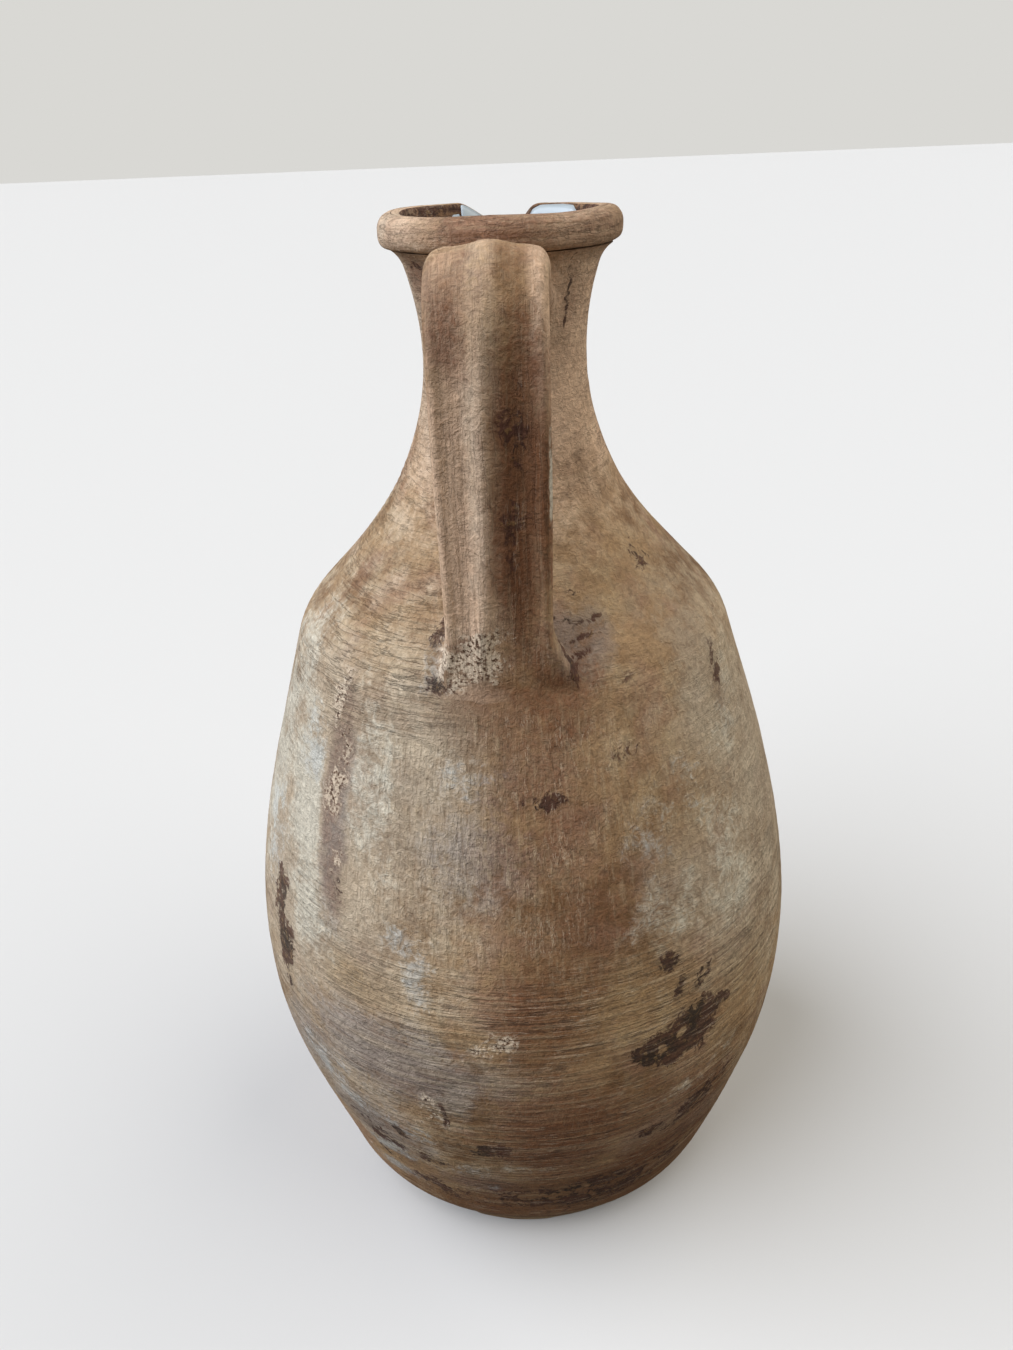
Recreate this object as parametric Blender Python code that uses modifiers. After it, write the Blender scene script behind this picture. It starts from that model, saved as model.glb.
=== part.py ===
"""Unglazed clay jug: a full belly, a slim flared neck, a collared mouth and a ribbed strap handle.

The jug stands on the origin, +Z up, with its handle towards -Y and its pouring lip towards +Y.
Sizes are in metres. The thrown sections meet in lapped joints, and CLEARANCE lies between pieces.
"""
import math

import bmesh
import bpy
import numpy as np
from mathutils import Vector
from mathutils.geometry import interpolate_bezier

# Outer face of the turned body. Each station stands a rise above the one before it.
BASE_RADIUS = 0.0694
HEEL_RISE = 0.0180
HEEL_RADIUS = 0.0814
LOW_BELLY_RISE = 0.0545
LOW_BELLY_RADIUS = 0.0973
BELLY_RISE = 0.0365
BELLY_RADIUS = 0.1009
CORNER_RISE = 0.1285
CORNER_RADIUS = 0.0723
NECK_FOOT_RISE = 0.0451
NECK_FOOT_RADIUS = 0.0349
WAIST_RISE = 0.0374
WAIST_RADIUS = 0.0255
FLARE_RISE = 0.0240
FLARE_RADIUS = 0.0290
CREASE_RISE = 0.0063
CREASE_RADIUS = 0.0333

# Steepness of the outer face, as radius gained for each unit of height.
HEEL_STEEPNESS = 0.29
LOW_BELLY_STEEPNESS = 0.235
CORNER_STEEPNESS_BELOW = -0.29
CORNER_STEEPNESS_ABOVE = -0.93
NECK_FOOT_STEEPNESS = -0.50
FLARE_STEEPNESS = 0.30
CREASE_STEEPNESS = 1.40
MOUTH_STEEPNESS = 0.45

# Rounding of the two edges that the potter's tool left soft.
HEEL_SOFTNESS = 0.0035
CORNER_SOFTNESS = 0.0070

# Collar round the mouth.
COLLAR_RISE = 0.0097
COLLAR_OVERHANG = 0.0031
COLLAR_THICKNESS = 0.0081
COLLAR_EDGE_RADIUS = 0.0042
MOUTH_EDGE_RADIUS = 0.0022
# The most of the collar's thickness that each rounded edge may take.
COLLAR_EDGE_SHARE = 0.60
MOUTH_EDGE_SHARE = 0.35

# Pulled pouring lip, opposite the handle.
LIP_REACH = 0.0050
LIP_DROP = 0.0065
LIP_HALF_SPREAD = math.radians(31.0)
LIP_DEPTH = 0.0220

# Walls, floor, lining and joints.
WALL = 0.0060
FLOOR = 0.0090
FLOOR_STEP = 0.0020
BASE_EDGE = 0.0012
GLAZE = 0.0009
GLAZE_BELOW_CREST = 0.0050
LAP = 0.0030
CLEARANCE = 0.0003
SHOULDER_JOINT_BELOW_CORNER = 0.0110
NECK_JOINT_ABOVE_FOOT = 0.0020

# Strap handle. It reaches out from the jug's axis, and its top is measured from the crease below the collar.
STRAP_WIDTH = 0.0315
STRAP_THICKNESS = 0.0080
STRAP_REACH = 0.0720
STRAP_TOP_ABOVE_CREASE = 0.0044
STRAP_END_BELOW_CREASE = 0.0090
STRAP_BELOW_COLLAR = 0.0003
# The strap's middle line ends this far below where it meets the shoulder, and this deep in the body.
STRAP_TAIL_DROP = 0.0120
STRAP_TAIL_DEPTH = 0.0095
STRAP_EDGE_ROLL = 0.0012
STRAP_ROLL_WIDTH = 0.0032
RIDGE_HEIGHT = 0.0021
RIDGE_WIDTH = 0.0032
RIDGE_OFFSET = -0.0008
RIB_HEIGHT = 0.0005
RIB_WIDTH = 0.0018
RIB_OFFSET = 0.0042
STRAP_FOOT_SWELL = 1.10
STRAP_SIDE_ANGLES = (60.0, 25.0, -25.0, -60.0)

# Clay pressed round the foot of the strap.
PAD_HALF_WIDTH = 0.0210
PAD_HALF_HEIGHT = 0.0175
PAD_STANDS_PROUD = 0.0016
PAD_DEPTH = 0.0120
PAD_BELOW_FOOT = 0.0025

# Course of the strap: where its arch and its two lower stations lie, and the arms that round it,
# as shares of the span from the collar to the reach, and of the drop from the arch to the foot.
# The first pair is a share of the way from the strap's end in the neck to the top of the arch.
RISE_ARMS = (0.20, 0.10)
ARCH_AT = 0.55
ARCH_ARMS = (0.32, 0.26)
BEND_AT = 0.19
BEND_ARMS = (0.12, 0.15)
STRAIGHT_UNTIL = 0.76
STRAIGHT_ARMS = (0.15, 0.12)

# Fineness of the solids.
SEGMENTS = 44
PAD_SEGMENTS = 28
FINE_STEPS = 60
ROUNDING_STEPS = 12
COLLAR_ARC_STEPS = 5
SMALL_ARC_STEPS = 3
PATH_STEPS = 6
FACE_POINTS = 17
NEAREST_RING = 0.0010
WELD = 0.00001
SHARP_ANGLE = math.radians(40.0)
# A cubic is a parabola when its arms reach this share of the way to where its end tangents meet.
PARABOLA_ARM = 2.0 / 3.0

HEEL_HEIGHT = HEEL_RISE
LOW_BELLY_HEIGHT = HEEL_HEIGHT + LOW_BELLY_RISE
BELLY_HEIGHT = LOW_BELLY_HEIGHT + BELLY_RISE
CORNER_HEIGHT = BELLY_HEIGHT + CORNER_RISE
NECK_FOOT_HEIGHT = CORNER_HEIGHT + NECK_FOOT_RISE
WAIST_HEIGHT = NECK_FOOT_HEIGHT + WAIST_RISE
FLARE_HEIGHT = WAIST_HEIGHT + FLARE_RISE
CREASE_HEIGHT = FLARE_HEIGHT + CREASE_RISE
CREST_HEIGHT = CREASE_HEIGHT + COLLAR_RISE
RIM_RADIUS = CREASE_RADIUS + COLLAR_OVERHANG
MOUTH_RADIUS = RIM_RADIUS - COLLAR_THICKNESS
RIM_ROUND = min(COLLAR_EDGE_RADIUS, COLLAR_RISE - COLLAR_OVERHANG, COLLAR_EDGE_SHARE * COLLAR_THICKNESS)
MOUTH_ROUND = min(MOUTH_EDGE_RADIUS, MOUTH_EDGE_SHARE * COLLAR_THICKNESS)
SHOULDER_JOINT = CORNER_HEIGHT - SHOULDER_JOINT_BELOW_CORNER
NECK_JOINT = NECK_FOOT_HEIGHT + NECK_JOINT_ABOVE_FOOT

COLLECTION = "ceramic_jug"
CUTTERS = "ceramic_jug_cutters"


def clear_scene():
    """Remove what the scene holds."""
    for old in list(bpy.data.objects):
        bpy.data.objects.remove(old, do_unlink=True)
    for name in (COLLECTION, CUTTERS):
        collection = bpy.data.collections.get(name) or bpy.data.collections.new(name)
        if name not in bpy.context.scene.collection.children:
            bpy.context.scene.collection.children.link(collection)


def clay(name, colour, roughness):
    """Make a plain fired-clay or glaze material."""
    material = bpy.data.materials.new(name)
    material.use_nodes = True
    shader = material.node_tree.nodes["Principled BSDF"]
    shader.inputs["Base Color"].default_value = (*colour, 1.0)
    shader.inputs["Roughness"].default_value = roughness
    shader.inputs["Metallic"].default_value = 0.0
    return material


def smooth_curve(start, end):
    """Return points of a cubic from start to end, each a (height, radius, steepness)."""
    (low, radius_low, steep_low), (high, radius_high, steep_high) = start, end
    rise = high - low
    points = []
    for step in range(FINE_STEPS + 1):
        t = step / FINE_STEPS
        radius = ((2 * t ** 3 - 3 * t ** 2 + 1) * radius_low + (t ** 3 - 2 * t ** 2 + t) * rise * steep_low
                  + (3 * t ** 2 - 2 * t ** 3) * radius_high + (t ** 3 - t ** 2) * rise * steep_high)
        points.append((radius, low + t * rise))
    return points


def outer_outline():
    """Return the outer face of the body from below its base to the crease, as fine (radius, height)."""
    heel_slant = (HEEL_RADIUS - BASE_RADIUS) / HEEL_HEIGHT
    below = -2.0 * WALL
    stations = [
        (below, BASE_RADIUS + heel_slant * below, heel_slant), (HEEL_HEIGHT, HEEL_RADIUS, heel_slant),
        (HEEL_HEIGHT, HEEL_RADIUS, HEEL_STEEPNESS), (LOW_BELLY_HEIGHT, LOW_BELLY_RADIUS, LOW_BELLY_STEEPNESS),
        (BELLY_HEIGHT, BELLY_RADIUS, 0.0), (CORNER_HEIGHT, CORNER_RADIUS, CORNER_STEEPNESS_BELOW),
        (CORNER_HEIGHT, CORNER_RADIUS, CORNER_STEEPNESS_ABOVE),
        (NECK_FOOT_HEIGHT, NECK_FOOT_RADIUS, NECK_FOOT_STEEPNESS), (WAIST_HEIGHT, WAIST_RADIUS, 0.0),
        (FLARE_HEIGHT, FLARE_RADIUS, FLARE_STEEPNESS), (CREASE_HEIGHT, CREASE_RADIUS, CREASE_STEEPNESS)]
    line = []
    for start, end in zip(stations, stations[1:]):
        if end[0] > start[0]:
            line += smooth_curve(start, end)[bool(line):]
    line = soften(line, HEEL_HEIGHT, HEEL_SOFTNESS)
    return soften(line, CORNER_HEIGHT, CORNER_SOFTNESS)


def soften(line, height, reach):
    """Round the edge of an outline at one height with a parabola, over a reach above and below it."""
    start, edge, end = (Vector((radius_at(line, z), z)) for z in (height - reach, height, height + reach))
    arms = start.lerp(edge, PARABOLA_ARM), end.lerp(edge, PARABOLA_ARM)
    arc = [tuple(point) for point in interpolate_bezier(start, *arms, end, ROUNDING_STEPS)]
    return [p for p in line if p[1] < start.y] + arc + [p for p in line if p[1] > end.y]


def radius_at(line, height):
    """Return the radius of an outline at one height."""
    radii, heights = zip(*line)
    return float(np.interp(height, heights, radii))


def moved_inwards(line, distance):
    """Return an outline moved towards the inside of the wall by a distance."""
    points = np.array(line)
    along = np.gradient(points, axis=0)
    along /= np.linalg.norm(along, axis=1)[:, None]
    inwards = np.column_stack((-along[:, 1], along[:, 0]))
    return [tuple(point) for point in points + distance * inwards]


def inner_outline(outer):
    """Return the inner face of the wall: parallel to the outer one, then flaring into the mouth."""
    parallel = moved_inwards(outer, WALL)
    waist = (WAIST_HEIGHT, radius_at(parallel, WAIST_HEIGHT), 0.0)
    mouth = (CREST_HEIGHT - MOUTH_ROUND, MOUTH_RADIUS, MOUTH_STEEPNESS)
    return [p for p in parallel if p[1] < WAIST_HEIGHT] + smooth_curve(waist, mouth)


def sample_heights():
    """Return the heights at which every turned face has a ring of vertices."""
    spans = ((0.0, HEEL_HEIGHT - HEEL_SOFTNESS, 1), (HEEL_HEIGHT + HEEL_SOFTNESS, LOW_BELLY_HEIGHT, 2),
             (LOW_BELLY_HEIGHT, BELLY_HEIGHT, 2), (BELLY_HEIGHT, CORNER_HEIGHT - CORNER_SOFTNESS, 6),
             (CORNER_HEIGHT + CORNER_SOFTNESS, NECK_FOOT_HEIGHT, 4), (NECK_FOOT_HEIGHT, WAIST_HEIGHT, 3),
             (WAIST_HEIGHT, FLARE_HEIGHT, 3), (FLARE_HEIGHT, CREASE_HEIGHT, 1))
    heights = [HEEL_HEIGHT, CORNER_HEIGHT, SHOULDER_JOINT + LAP, NECK_JOINT + LAP]
    for low, high, count in spans:
        heights += list(np.linspace(low, high, count + 1))
    return sorted({round(height, 7) for height in heights})


def face(line, low, high):
    """Return the points of a turned face from low to high, going up."""
    between = [z for z in sample_heights() if low + NEAREST_RING < z < high - NEAREST_RING]
    return [(radius_at(line, z), z) for z in (low, *between, high)]


def turned(name, profile, material, closed=True, cutter=False):
    """Turn a profile of (radius, height) about Z. It runs down the outer side and up the inner one."""
    mesh = bpy.data.meshes.new(name)
    shape = bmesh.new()
    verts = [shape.verts.new((radius, 0.0, height)) for radius, height in profile]
    for start, end in zip(verts, verts[1:] + verts[:1] if closed else verts[1:]):
        shape.edges.new((start, end))
    shape.to_mesh(mesh)
    shape.free()
    jug_part = add_object(name, mesh, material, cutter)
    screw = jug_part.modifiers.new("turn", "SCREW")
    screw.axis = "Z"
    screw.angle = math.tau
    screw.steps = SEGMENTS
    screw.render_steps = SEGMENTS
    screw.use_merge_vertices = True
    screw.merge_threshold = WELD
    screw.use_smooth_shade = True
    return jug_part


def add_object(name, data, material=None, cutter=False):
    """Link a new object to the jug's collection, or to the cutters'."""
    added = bpy.data.objects.new(name, data)
    bpy.data.collections[CUTTERS if cutter else COLLECTION].objects.link(added)
    if material:
        data.materials.append(material)
    if cutter:
        added.hide_render = True
        added.display_type = "WIRE"
    return added


def baked(source):
    """Replace an object by its evaluated mesh, welded, under the same name."""
    bpy.context.view_layer.update()
    evaluated = source.evaluated_get(bpy.context.evaluated_depsgraph_get())
    mesh = bpy.data.meshes.new_from_object(evaluated)
    shape = bmesh.new()
    shape.from_mesh(mesh)
    bmesh.ops.remove_doubles(shape, verts=shape.verts, dist=WELD)
    bmesh.ops.recalc_face_normals(shape, faces=shape.faces)
    shape.to_mesh(mesh)
    shape.free()
    name = source.name
    material = source.active_material
    cutter = source.hide_render
    matrix = source.matrix_world.copy()
    bpy.data.objects.remove(source, do_unlink=True)
    mesh.materials.clear()
    result = add_object(name, mesh, material, cutter)
    result.matrix_world = matrix
    mesh.shade_smooth()
    mesh.set_sharp_from_angle(angle=SHARP_ANGLE)
    return result


def pull_lip(ring):
    """Draw the mouth outwards and down opposite the handle, fading out below the collar."""
    ring = baked(ring)
    shape = bmesh.new()
    shape.from_mesh(ring.data)
    for vertex in shape.verts:
        x, y, z = vertex.co
        turn = abs(math.atan2(x, y))
        depth = (z - (CREST_HEIGHT - LIP_DEPTH)) / LIP_DEPTH
        if turn >= LIP_HALF_SPREAD or depth <= 0.0:
            continue
        pull = 0.5 + 0.5 * math.cos(math.pi * turn / LIP_HALF_SPREAD)
        pull *= depth * depth * (3.0 - 2.0 * depth)
        spread = 1.0 + LIP_REACH * pull / math.hypot(x, y)
        vertex.co = (x * spread, y * spread, z - LIP_DROP * pull)
    bmesh.ops.triangulate(shape, faces=shape.faces, quad_method="SHORT_EDGE")
    shape.to_mesh(ring.data)
    shape.free()
    return ring


def quarter_round(centre, radius, start, end, count):
    """Return points of an arc round a centre, from one angle to another in degrees."""
    angles = np.radians(np.linspace(start, end, count + 1))
    return [(centre[0] + radius * math.cos(a), centre[1] + radius * math.sin(a)) for a in angles]


def base_disc(outer, inner, material):
    """Floor of the jug: a flat disc whose raised middle centres the wall that stands on its edge."""
    seat = radius_at(inner, FLOOR) - CLEARANCE
    profile = [(0.0, FLOOR + FLOOR_STEP), (seat, FLOOR + FLOOR_STEP), (seat, FLOOR),
               (radius_at(outer, FLOOR), FLOOR), (radius_at(outer, BASE_EDGE), BASE_EDGE),
               (BASE_RADIUS - BASE_EDGE, 0.0), (0.0, 0.0)]
    return turned("base_disc", profile, material, closed=False)


def lap_top(outer, inner, height):
    """Return the upper edge of a section, outside to inside, with its inner half raised as a lap."""
    middle = 0.5 * (radius_at(outer, height) + radius_at(inner, height))
    return [(middle, height), (middle, height + LAP)]


def lap_bottom(outer, inner, height):
    """Return the lower edge of a section, outside to inside, rebated to sit over a raised lap."""
    middle = 0.5 * (radius_at(outer, height) + radius_at(inner, height)) + CLEARANCE
    return [(middle, height + CLEARANCE), (middle, height + LAP + CLEARANCE)]


def wall_section(name, outer, inner, low, high, material, seated=True):
    """One thrown section of the wall between two joints."""
    bottom = lap_bottom(outer, inner, low) if seated else []
    inner_low = low + LAP + CLEARANCE if seated else low + CLEARANCE
    down = face(outer, low + CLEARANCE, high)[::-1]
    up = face(inner, inner_low, high + LAP)
    return turned(name, down + bottom + up + lap_top(outer, inner, high)[::-1], material)


def rim_collar(outer, inner, material):
    """Rolled collar that overhangs the neck, with the mouth's inner edge and the pouring lip."""
    low = CREASE_HEIGHT + CLEARANCE
    drip = 0.5 * COLLAR_OVERHANG
    over = quarter_round((RIM_RADIUS - RIM_ROUND, CREST_HEIGHT - RIM_ROUND), RIM_ROUND, 90, 0,
                         COLLAR_ARC_STEPS)
    skirt = quarter_round((RIM_RADIUS - drip, low + drip), drip, 0, -90, SMALL_ARC_STEPS)
    joint = lap_bottom(outer, inner, CREASE_HEIGHT)
    rise = face(inner, low + LAP, CREST_HEIGHT - MOUTH_ROUND)[:-1]
    mouth = quarter_round((MOUTH_RADIUS + MOUTH_ROUND, CREST_HEIGHT - MOUTH_ROUND), MOUTH_ROUND, 180, 90,
                          SMALL_ARC_STEPS)
    return pull_lip(turned("rim_collar", over + skirt + joint + rise + mouth, material))


def glaze_lining(inner, material):
    """Thin glassy coat over the floor and the inside of the wall."""
    back = moved_inwards(inner, CLEARANCE)
    front = moved_inwards(inner, CLEARANCE + GLAZE)
    floor = FLOOR + FLOOR_STEP + CLEARANCE
    top = CREST_HEIGHT - GLAZE_BELOW_CREST
    profile = ([(0.0, floor + GLAZE)] + face(front, floor + GLAZE, top)
               + face(back, floor, top)[::-1] + [(0.0, floor)])
    return pull_lip(turned("glaze_lining", profile, material, closed=False))


def envelope(outer):
    """Filled outer form of the body, one clearance larger, which trims what is luted on to it."""
    grown = moved_inwards(outer, -CLEARANCE)
    profile = [(0.0, CREASE_HEIGHT)] + face(grown, 0.0, CREASE_HEIGHT)[::-1] + [(0.0, 0.0)]
    return turned("body_envelope", profile, None, closed=False, cutter=True)


def strap_section():
    """Cross-section of the strap: rolled edges, one tall ridge and a low rib on its outer face."""
    half = 0.5 * STRAP_WIDTH
    skin = 0.5 * STRAP_THICKNESS
    roll = 0.5 * STRAP_ROLL_WIDTH

    def swell(x, centre, width, height):
        return height * math.exp(-((x - centre) / width) ** 2)

    points = []
    for step in range(FACE_POINTS):
        x = (half - roll) * (2.0 * step / (FACE_POINTS - 1) - 1.0)
        y = skin - STRAP_EDGE_ROLL
        y += swell(abs(x), half - roll, STRAP_ROLL_WIDTH, STRAP_EDGE_ROLL)
        y += swell(x, RIDGE_OFFSET, RIDGE_WIDTH, RIDGE_HEIGHT) + swell(x, RIB_OFFSET, RIB_WIDTH, RIB_HEIGHT)
        points.append((x, y))
    angles = np.radians(STRAP_SIDE_ANGLES)
    side = [(half - roll + roll * math.cos(a), skin * math.sin(a)) for a in angles]
    under = [(half - roll, -skin), (0.0, -skin - 0.5 * STRAP_EDGE_ROLL), (roll - half, -skin)]
    return points + side + under + [(-x, y) for x, y in side[::-1]]


def strap_path(outer):
    """Return the strap's middle line, neck to shoulder, as stations of (place, arm in, arm out).

    A place is a reach from the jug's axis and a height. An arm is an offset from its place.
    """
    half = 0.5 * STRAP_THICKNESS
    middle = STRAP_REACH - half
    top = CREASE_HEIGHT + STRAP_TOP_ABOVE_CREASE - half
    end = CREASE_HEIGHT - STRAP_END_BELOW_CREASE - half
    under_collar = CREASE_HEIGHT - STRAP_BELOW_COLLAR - RIDGE_HEIGHT - half
    neck = radius_at(outer, end) - WALL
    foot = foot_height(outer)
    tail = foot - STRAP_TAIL_DROP
    span = middle - RIM_RADIUS
    drop = top - foot
    climb = Vector((RIM_RADIUS + ARCH_AT * span - neck, top - end))
    return [((neck, end), (0.0, 0.0), RISE_ARMS[0] * climb),
            ((RIM_RADIUS, under_collar), -RISE_ARMS[0] * climb, RISE_ARMS[1] * climb),
            ((RIM_RADIUS + ARCH_AT * span, top), (-ARCH_ARMS[0] * span, 0.0), (ARCH_ARMS[1] * span, 0.0)),
            ((middle, top - BEND_AT * drop), (0.0, BEND_ARMS[0] * drop), (0.0, -BEND_ARMS[1] * drop)),
            ((middle, top - STRAIGHT_UNTIL * drop), (0.0, STRAIGHT_ARMS[0] * drop),
             (0.0, -STRAIGHT_ARMS[1] * drop)),
            ((radius_at(outer, tail) - STRAP_TAIL_DEPTH, tail), (0.0, STRAIGHT_ARMS[1] * drop), (0.0, 0.0))]


def foot_height(outer):
    """Return the height at which the strap's middle line meets the shoulder."""
    middle = STRAP_REACH - 0.5 * STRAP_THICKNESS
    above = [point for point in outer if point[1] > BELLY_HEIGHT]
    return float(np.interp(-middle, [-radius for radius, _ in above], [height for _, height in above]))


def strap_handle(outer, material):
    """Ribbed strap from under the collar down to the shoulder, trimmed to the body at both ends."""
    section_data = bpy.data.curves.new("strap_section", "CURVE")
    section_data.dimensions = "2D"
    ring = strap_section()
    spline = section_data.splines.new("POLY")
    spline.points.add(len(ring) - 1)
    for point, (across, out) in zip(spline.points, ring):
        point.co = (-out, -across, 0.0, 1.0)
    spline.use_cyclic_u = True
    section = add_object("strap_section", section_data, cutter=True)

    path = bpy.data.curves.new("strap_handle", "CURVE")
    path.dimensions = "2D"
    path.resolution_u = PATH_STEPS
    path.bevel_mode = "OBJECT"
    path.bevel_object = section
    path.use_fill_caps = True
    stations = strap_path(outer)
    spline = path.splines.new("BEZIER")
    spline.bezier_points.add(len(stations) - 1)
    for knot, (place, arm_in, arm_out) in zip(spline.bezier_points, stations):
        knot.handle_left_type = knot.handle_right_type = "FREE"
        knot.co = (*place, 0.0)
        knot.handle_left = knot.co + Vector((*arm_in, 0.0))
        knot.handle_right = knot.co + Vector((*arm_out, 0.0))
    spline.bezier_points[-1].radius = STRAP_FOOT_SWELL
    strap = add_object("strap_handle", path, material)
    strap.rotation_euler = (math.radians(90.0), 0.0, math.radians(-90.0))
    strap = baked(strap)
    bpy.data.objects.remove(section, do_unlink=True)
    return strap


def root_pad(outer, material, grow=0.0):
    """Mound of clay round the strap's foot, or the same form grown to trim the strap."""
    pad_radius = STRAP_REACH + PAD_STANDS_PROUD - PAD_DEPTH
    mesh = bpy.data.meshes.new("handle_root_pad")
    shape = bmesh.new()
    bmesh.ops.create_uvsphere(shape, u_segments=PAD_SEGMENTS, v_segments=PAD_SEGMENTS // 2, radius=1.0)
    bmesh.ops.scale(shape, verts=shape.verts,
                    vec=(PAD_HALF_WIDTH + grow, PAD_DEPTH + grow, PAD_HALF_HEIGHT + grow))
    bmesh.ops.translate(shape, verts=shape.verts, vec=(0.0, -pad_radius, foot_height(outer) - PAD_BELOW_FOOT))
    shape.to_mesh(mesh)
    shape.free()
    mesh.shade_smooth()
    name = "pad_trimmer" if grow else "handle_root_pad"
    return add_object(name, mesh, material, cutter=bool(grow))


def trim(piece, cutter):
    """Cut a cutter's form out of a piece."""
    cut = piece.modifiers.new("trim_" + cutter.name, "BOOLEAN")
    cut.operation = "DIFFERENCE"
    cut.solver = "EXACT"
    cut.object = cutter


def build_jug():
    """Make every piece of the jug."""
    clear_scene()
    body_clay = clay("body_clay", (0.33, 0.235, 0.155), 0.86)
    floor_clay = clay("floor_clay", (0.25, 0.17, 0.11), 0.90)
    neck_clay = clay("neck_clay", (0.30, 0.205, 0.13), 0.86)
    collar_clay = clay("collar_clay", (0.31, 0.20, 0.125), 0.82)
    handle_clay = clay("handle_clay", (0.27, 0.175, 0.11), 0.80)
    pad_clay = clay("pad_clay", (0.34, 0.26, 0.19), 0.90)
    white_glaze = clay("white_glaze", (0.62, 0.66, 0.68), 0.22)

    outer = outer_outline()
    inner = inner_outline(outer)
    base_disc(outer, inner, floor_clay)
    wall_section("belly_wall", outer, inner, FLOOR, SHOULDER_JOINT, body_clay, seated=False)
    wall_section("shoulder", outer, inner, SHOULDER_JOINT, NECK_JOINT, body_clay)
    pull_lip(wall_section("neck", outer, inner, NECK_JOINT, CREASE_HEIGHT, neck_clay))
    rim_collar(outer, inner, collar_clay)
    glaze_lining(inner, white_glaze)

    body = envelope(outer)
    strap = strap_handle(outer, handle_clay)
    pad = root_pad(outer, pad_clay)
    trim(strap, body)
    trim(strap, root_pad(outer, None, grow=CLEARANCE))
    trim(pad, body)


build_jug()
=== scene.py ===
"""Looks of a hand-thrown clay jug: a full belly, a slim neck, a collared mouth and a ribbed strap.

Lengths are in millimetres until a mesh is written, in metres, into the frame of the solids.
The handle is towards -Y and the pouring lip towards +Y. An azimuth is in degrees from -Y towards +X.
"""
import logging
import math
from collections.abc import Callable, Iterable
from dataclasses import dataclass
from enum import Enum
from functools import partial
from itertools import product

import bmesh
import bpy
import numpy as np
from mathutils import Matrix, Vector


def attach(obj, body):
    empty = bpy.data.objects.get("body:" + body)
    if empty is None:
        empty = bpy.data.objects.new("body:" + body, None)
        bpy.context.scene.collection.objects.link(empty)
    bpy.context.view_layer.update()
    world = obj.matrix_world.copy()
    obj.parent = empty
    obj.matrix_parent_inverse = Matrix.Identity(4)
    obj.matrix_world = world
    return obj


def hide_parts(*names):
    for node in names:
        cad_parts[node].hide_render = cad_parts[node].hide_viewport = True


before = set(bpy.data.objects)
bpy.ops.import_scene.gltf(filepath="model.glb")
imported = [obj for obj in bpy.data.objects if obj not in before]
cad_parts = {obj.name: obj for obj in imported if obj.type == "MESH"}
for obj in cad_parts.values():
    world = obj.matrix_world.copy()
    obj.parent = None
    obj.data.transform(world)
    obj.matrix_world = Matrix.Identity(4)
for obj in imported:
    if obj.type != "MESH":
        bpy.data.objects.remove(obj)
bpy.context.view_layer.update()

Array = np.ndarray
Shape = bmesh.types.BMesh
Edges = list[bmesh.types.BMEdge]
Piece = bpy.types.Object
Material = bpy.types.Material
Tree = bpy.types.NodeTree
Socket = bpy.types.NodeSocket

METRES = 0.001
LOG = logging.getLogger("clay_jug")
# Columns of faces round the body, and cuts that each coarse step of a grid is made of.
SEGMENTS = 440
FINER = 8
# Radius on which marks round the body are unrolled, and the step with which a slope is felt.
GRAIN_RADIUS = 80.0
PROBE = 0.05


class Paint(Enum):
    """What lies on the clay in patches, some painted light or shade. Each value names the mesh attribute that
    holds its cover.
    """

    # Pale slip wash; also painted light on the neck, collar and strap, and in part on the belly's left side.
    WASH = "wash"
    # Pale buff; mostly painted light on the upper parts, the strap and a lit line low on the belly.
    BUFF = "buff"
    # Brown earth; also painted shade on the foot and on the handle's flared foot.
    UMBER = "umber"
    # Soot; also painted shade on the foot, in the crack by the handle and inside the mouth.
    SOOT = "soot"
    CRUST = "crust"
    # Pale cream; on the strap also a painted highlight along its right edge.
    CREAM = "cream"
    CHALK = "chalk"
    OCHRE = "ochre"
    RUST = "rust"
    ASH = "ash"


Covers = dict[Paint, Array]
Layers = dict[str, Array]


class Seam(Enum):
    """How the two ends of a fine grid lie to each other."""

    OPEN = "open"
    RING = "ring"


def ease(low: float, high: float, value: Array) -> Array:
    """Return a smooth step from 0 at low to 1 at high.

    Args:
        low: Value at which the step starts.
        high: Value at which the step ends.
        value: Values to look up.

    Returns:
        The step at each value.
    """
    share = np.clip((value - low) / (high - low), 0.0, 1.0)
    return share * share * (3.0 - 2.0 * share)


def round_rib(off: Array, width: Array | float) -> Array:
    """Return a rib's round section, 1 on its line and fading within a width to each side."""
    return np.exp(-(off / width) ** 2)


def outward(gap: Callable[[Array], Array], points: Array) -> Array:
    """Return the direction out of a form at each point.

    Args:
        gap: Gives how far points lie outside the form.
        points: Points near its face.

    Returns:
        One direction for each point.
    """
    middle = gap(points)
    slope = np.column_stack([gap(points + PROBE * axis) - middle for axis in np.eye(3)])
    return slope / (np.linalg.norm(slope, axis=1)[:, None] + 1e-9)


def around(azimuth: Array) -> Array:
    """Return the level directions that lie at azimuths in radians, one row each."""
    return np.column_stack((np.sin(azimuth), -np.cos(azimuth)))


def evenly(line: Array, count: int) -> Array:
    """Return places at even steps along a closed line, without its last point.

    Args:
        line: Points of the line, one row each, of which the last is the first again.
        count: How many places.

    Returns:
        One row for each place.
    """
    lengths = np.concatenate(([0.0], np.cumsum(np.linalg.norm(np.diff(line, axis=0), axis=1))))
    even = np.linspace(0.0, lengths[-1], count + 1)[:-1]
    return np.column_stack([np.interp(even, lengths, line[:, axis]) for axis in range(line.shape[1])])


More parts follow.
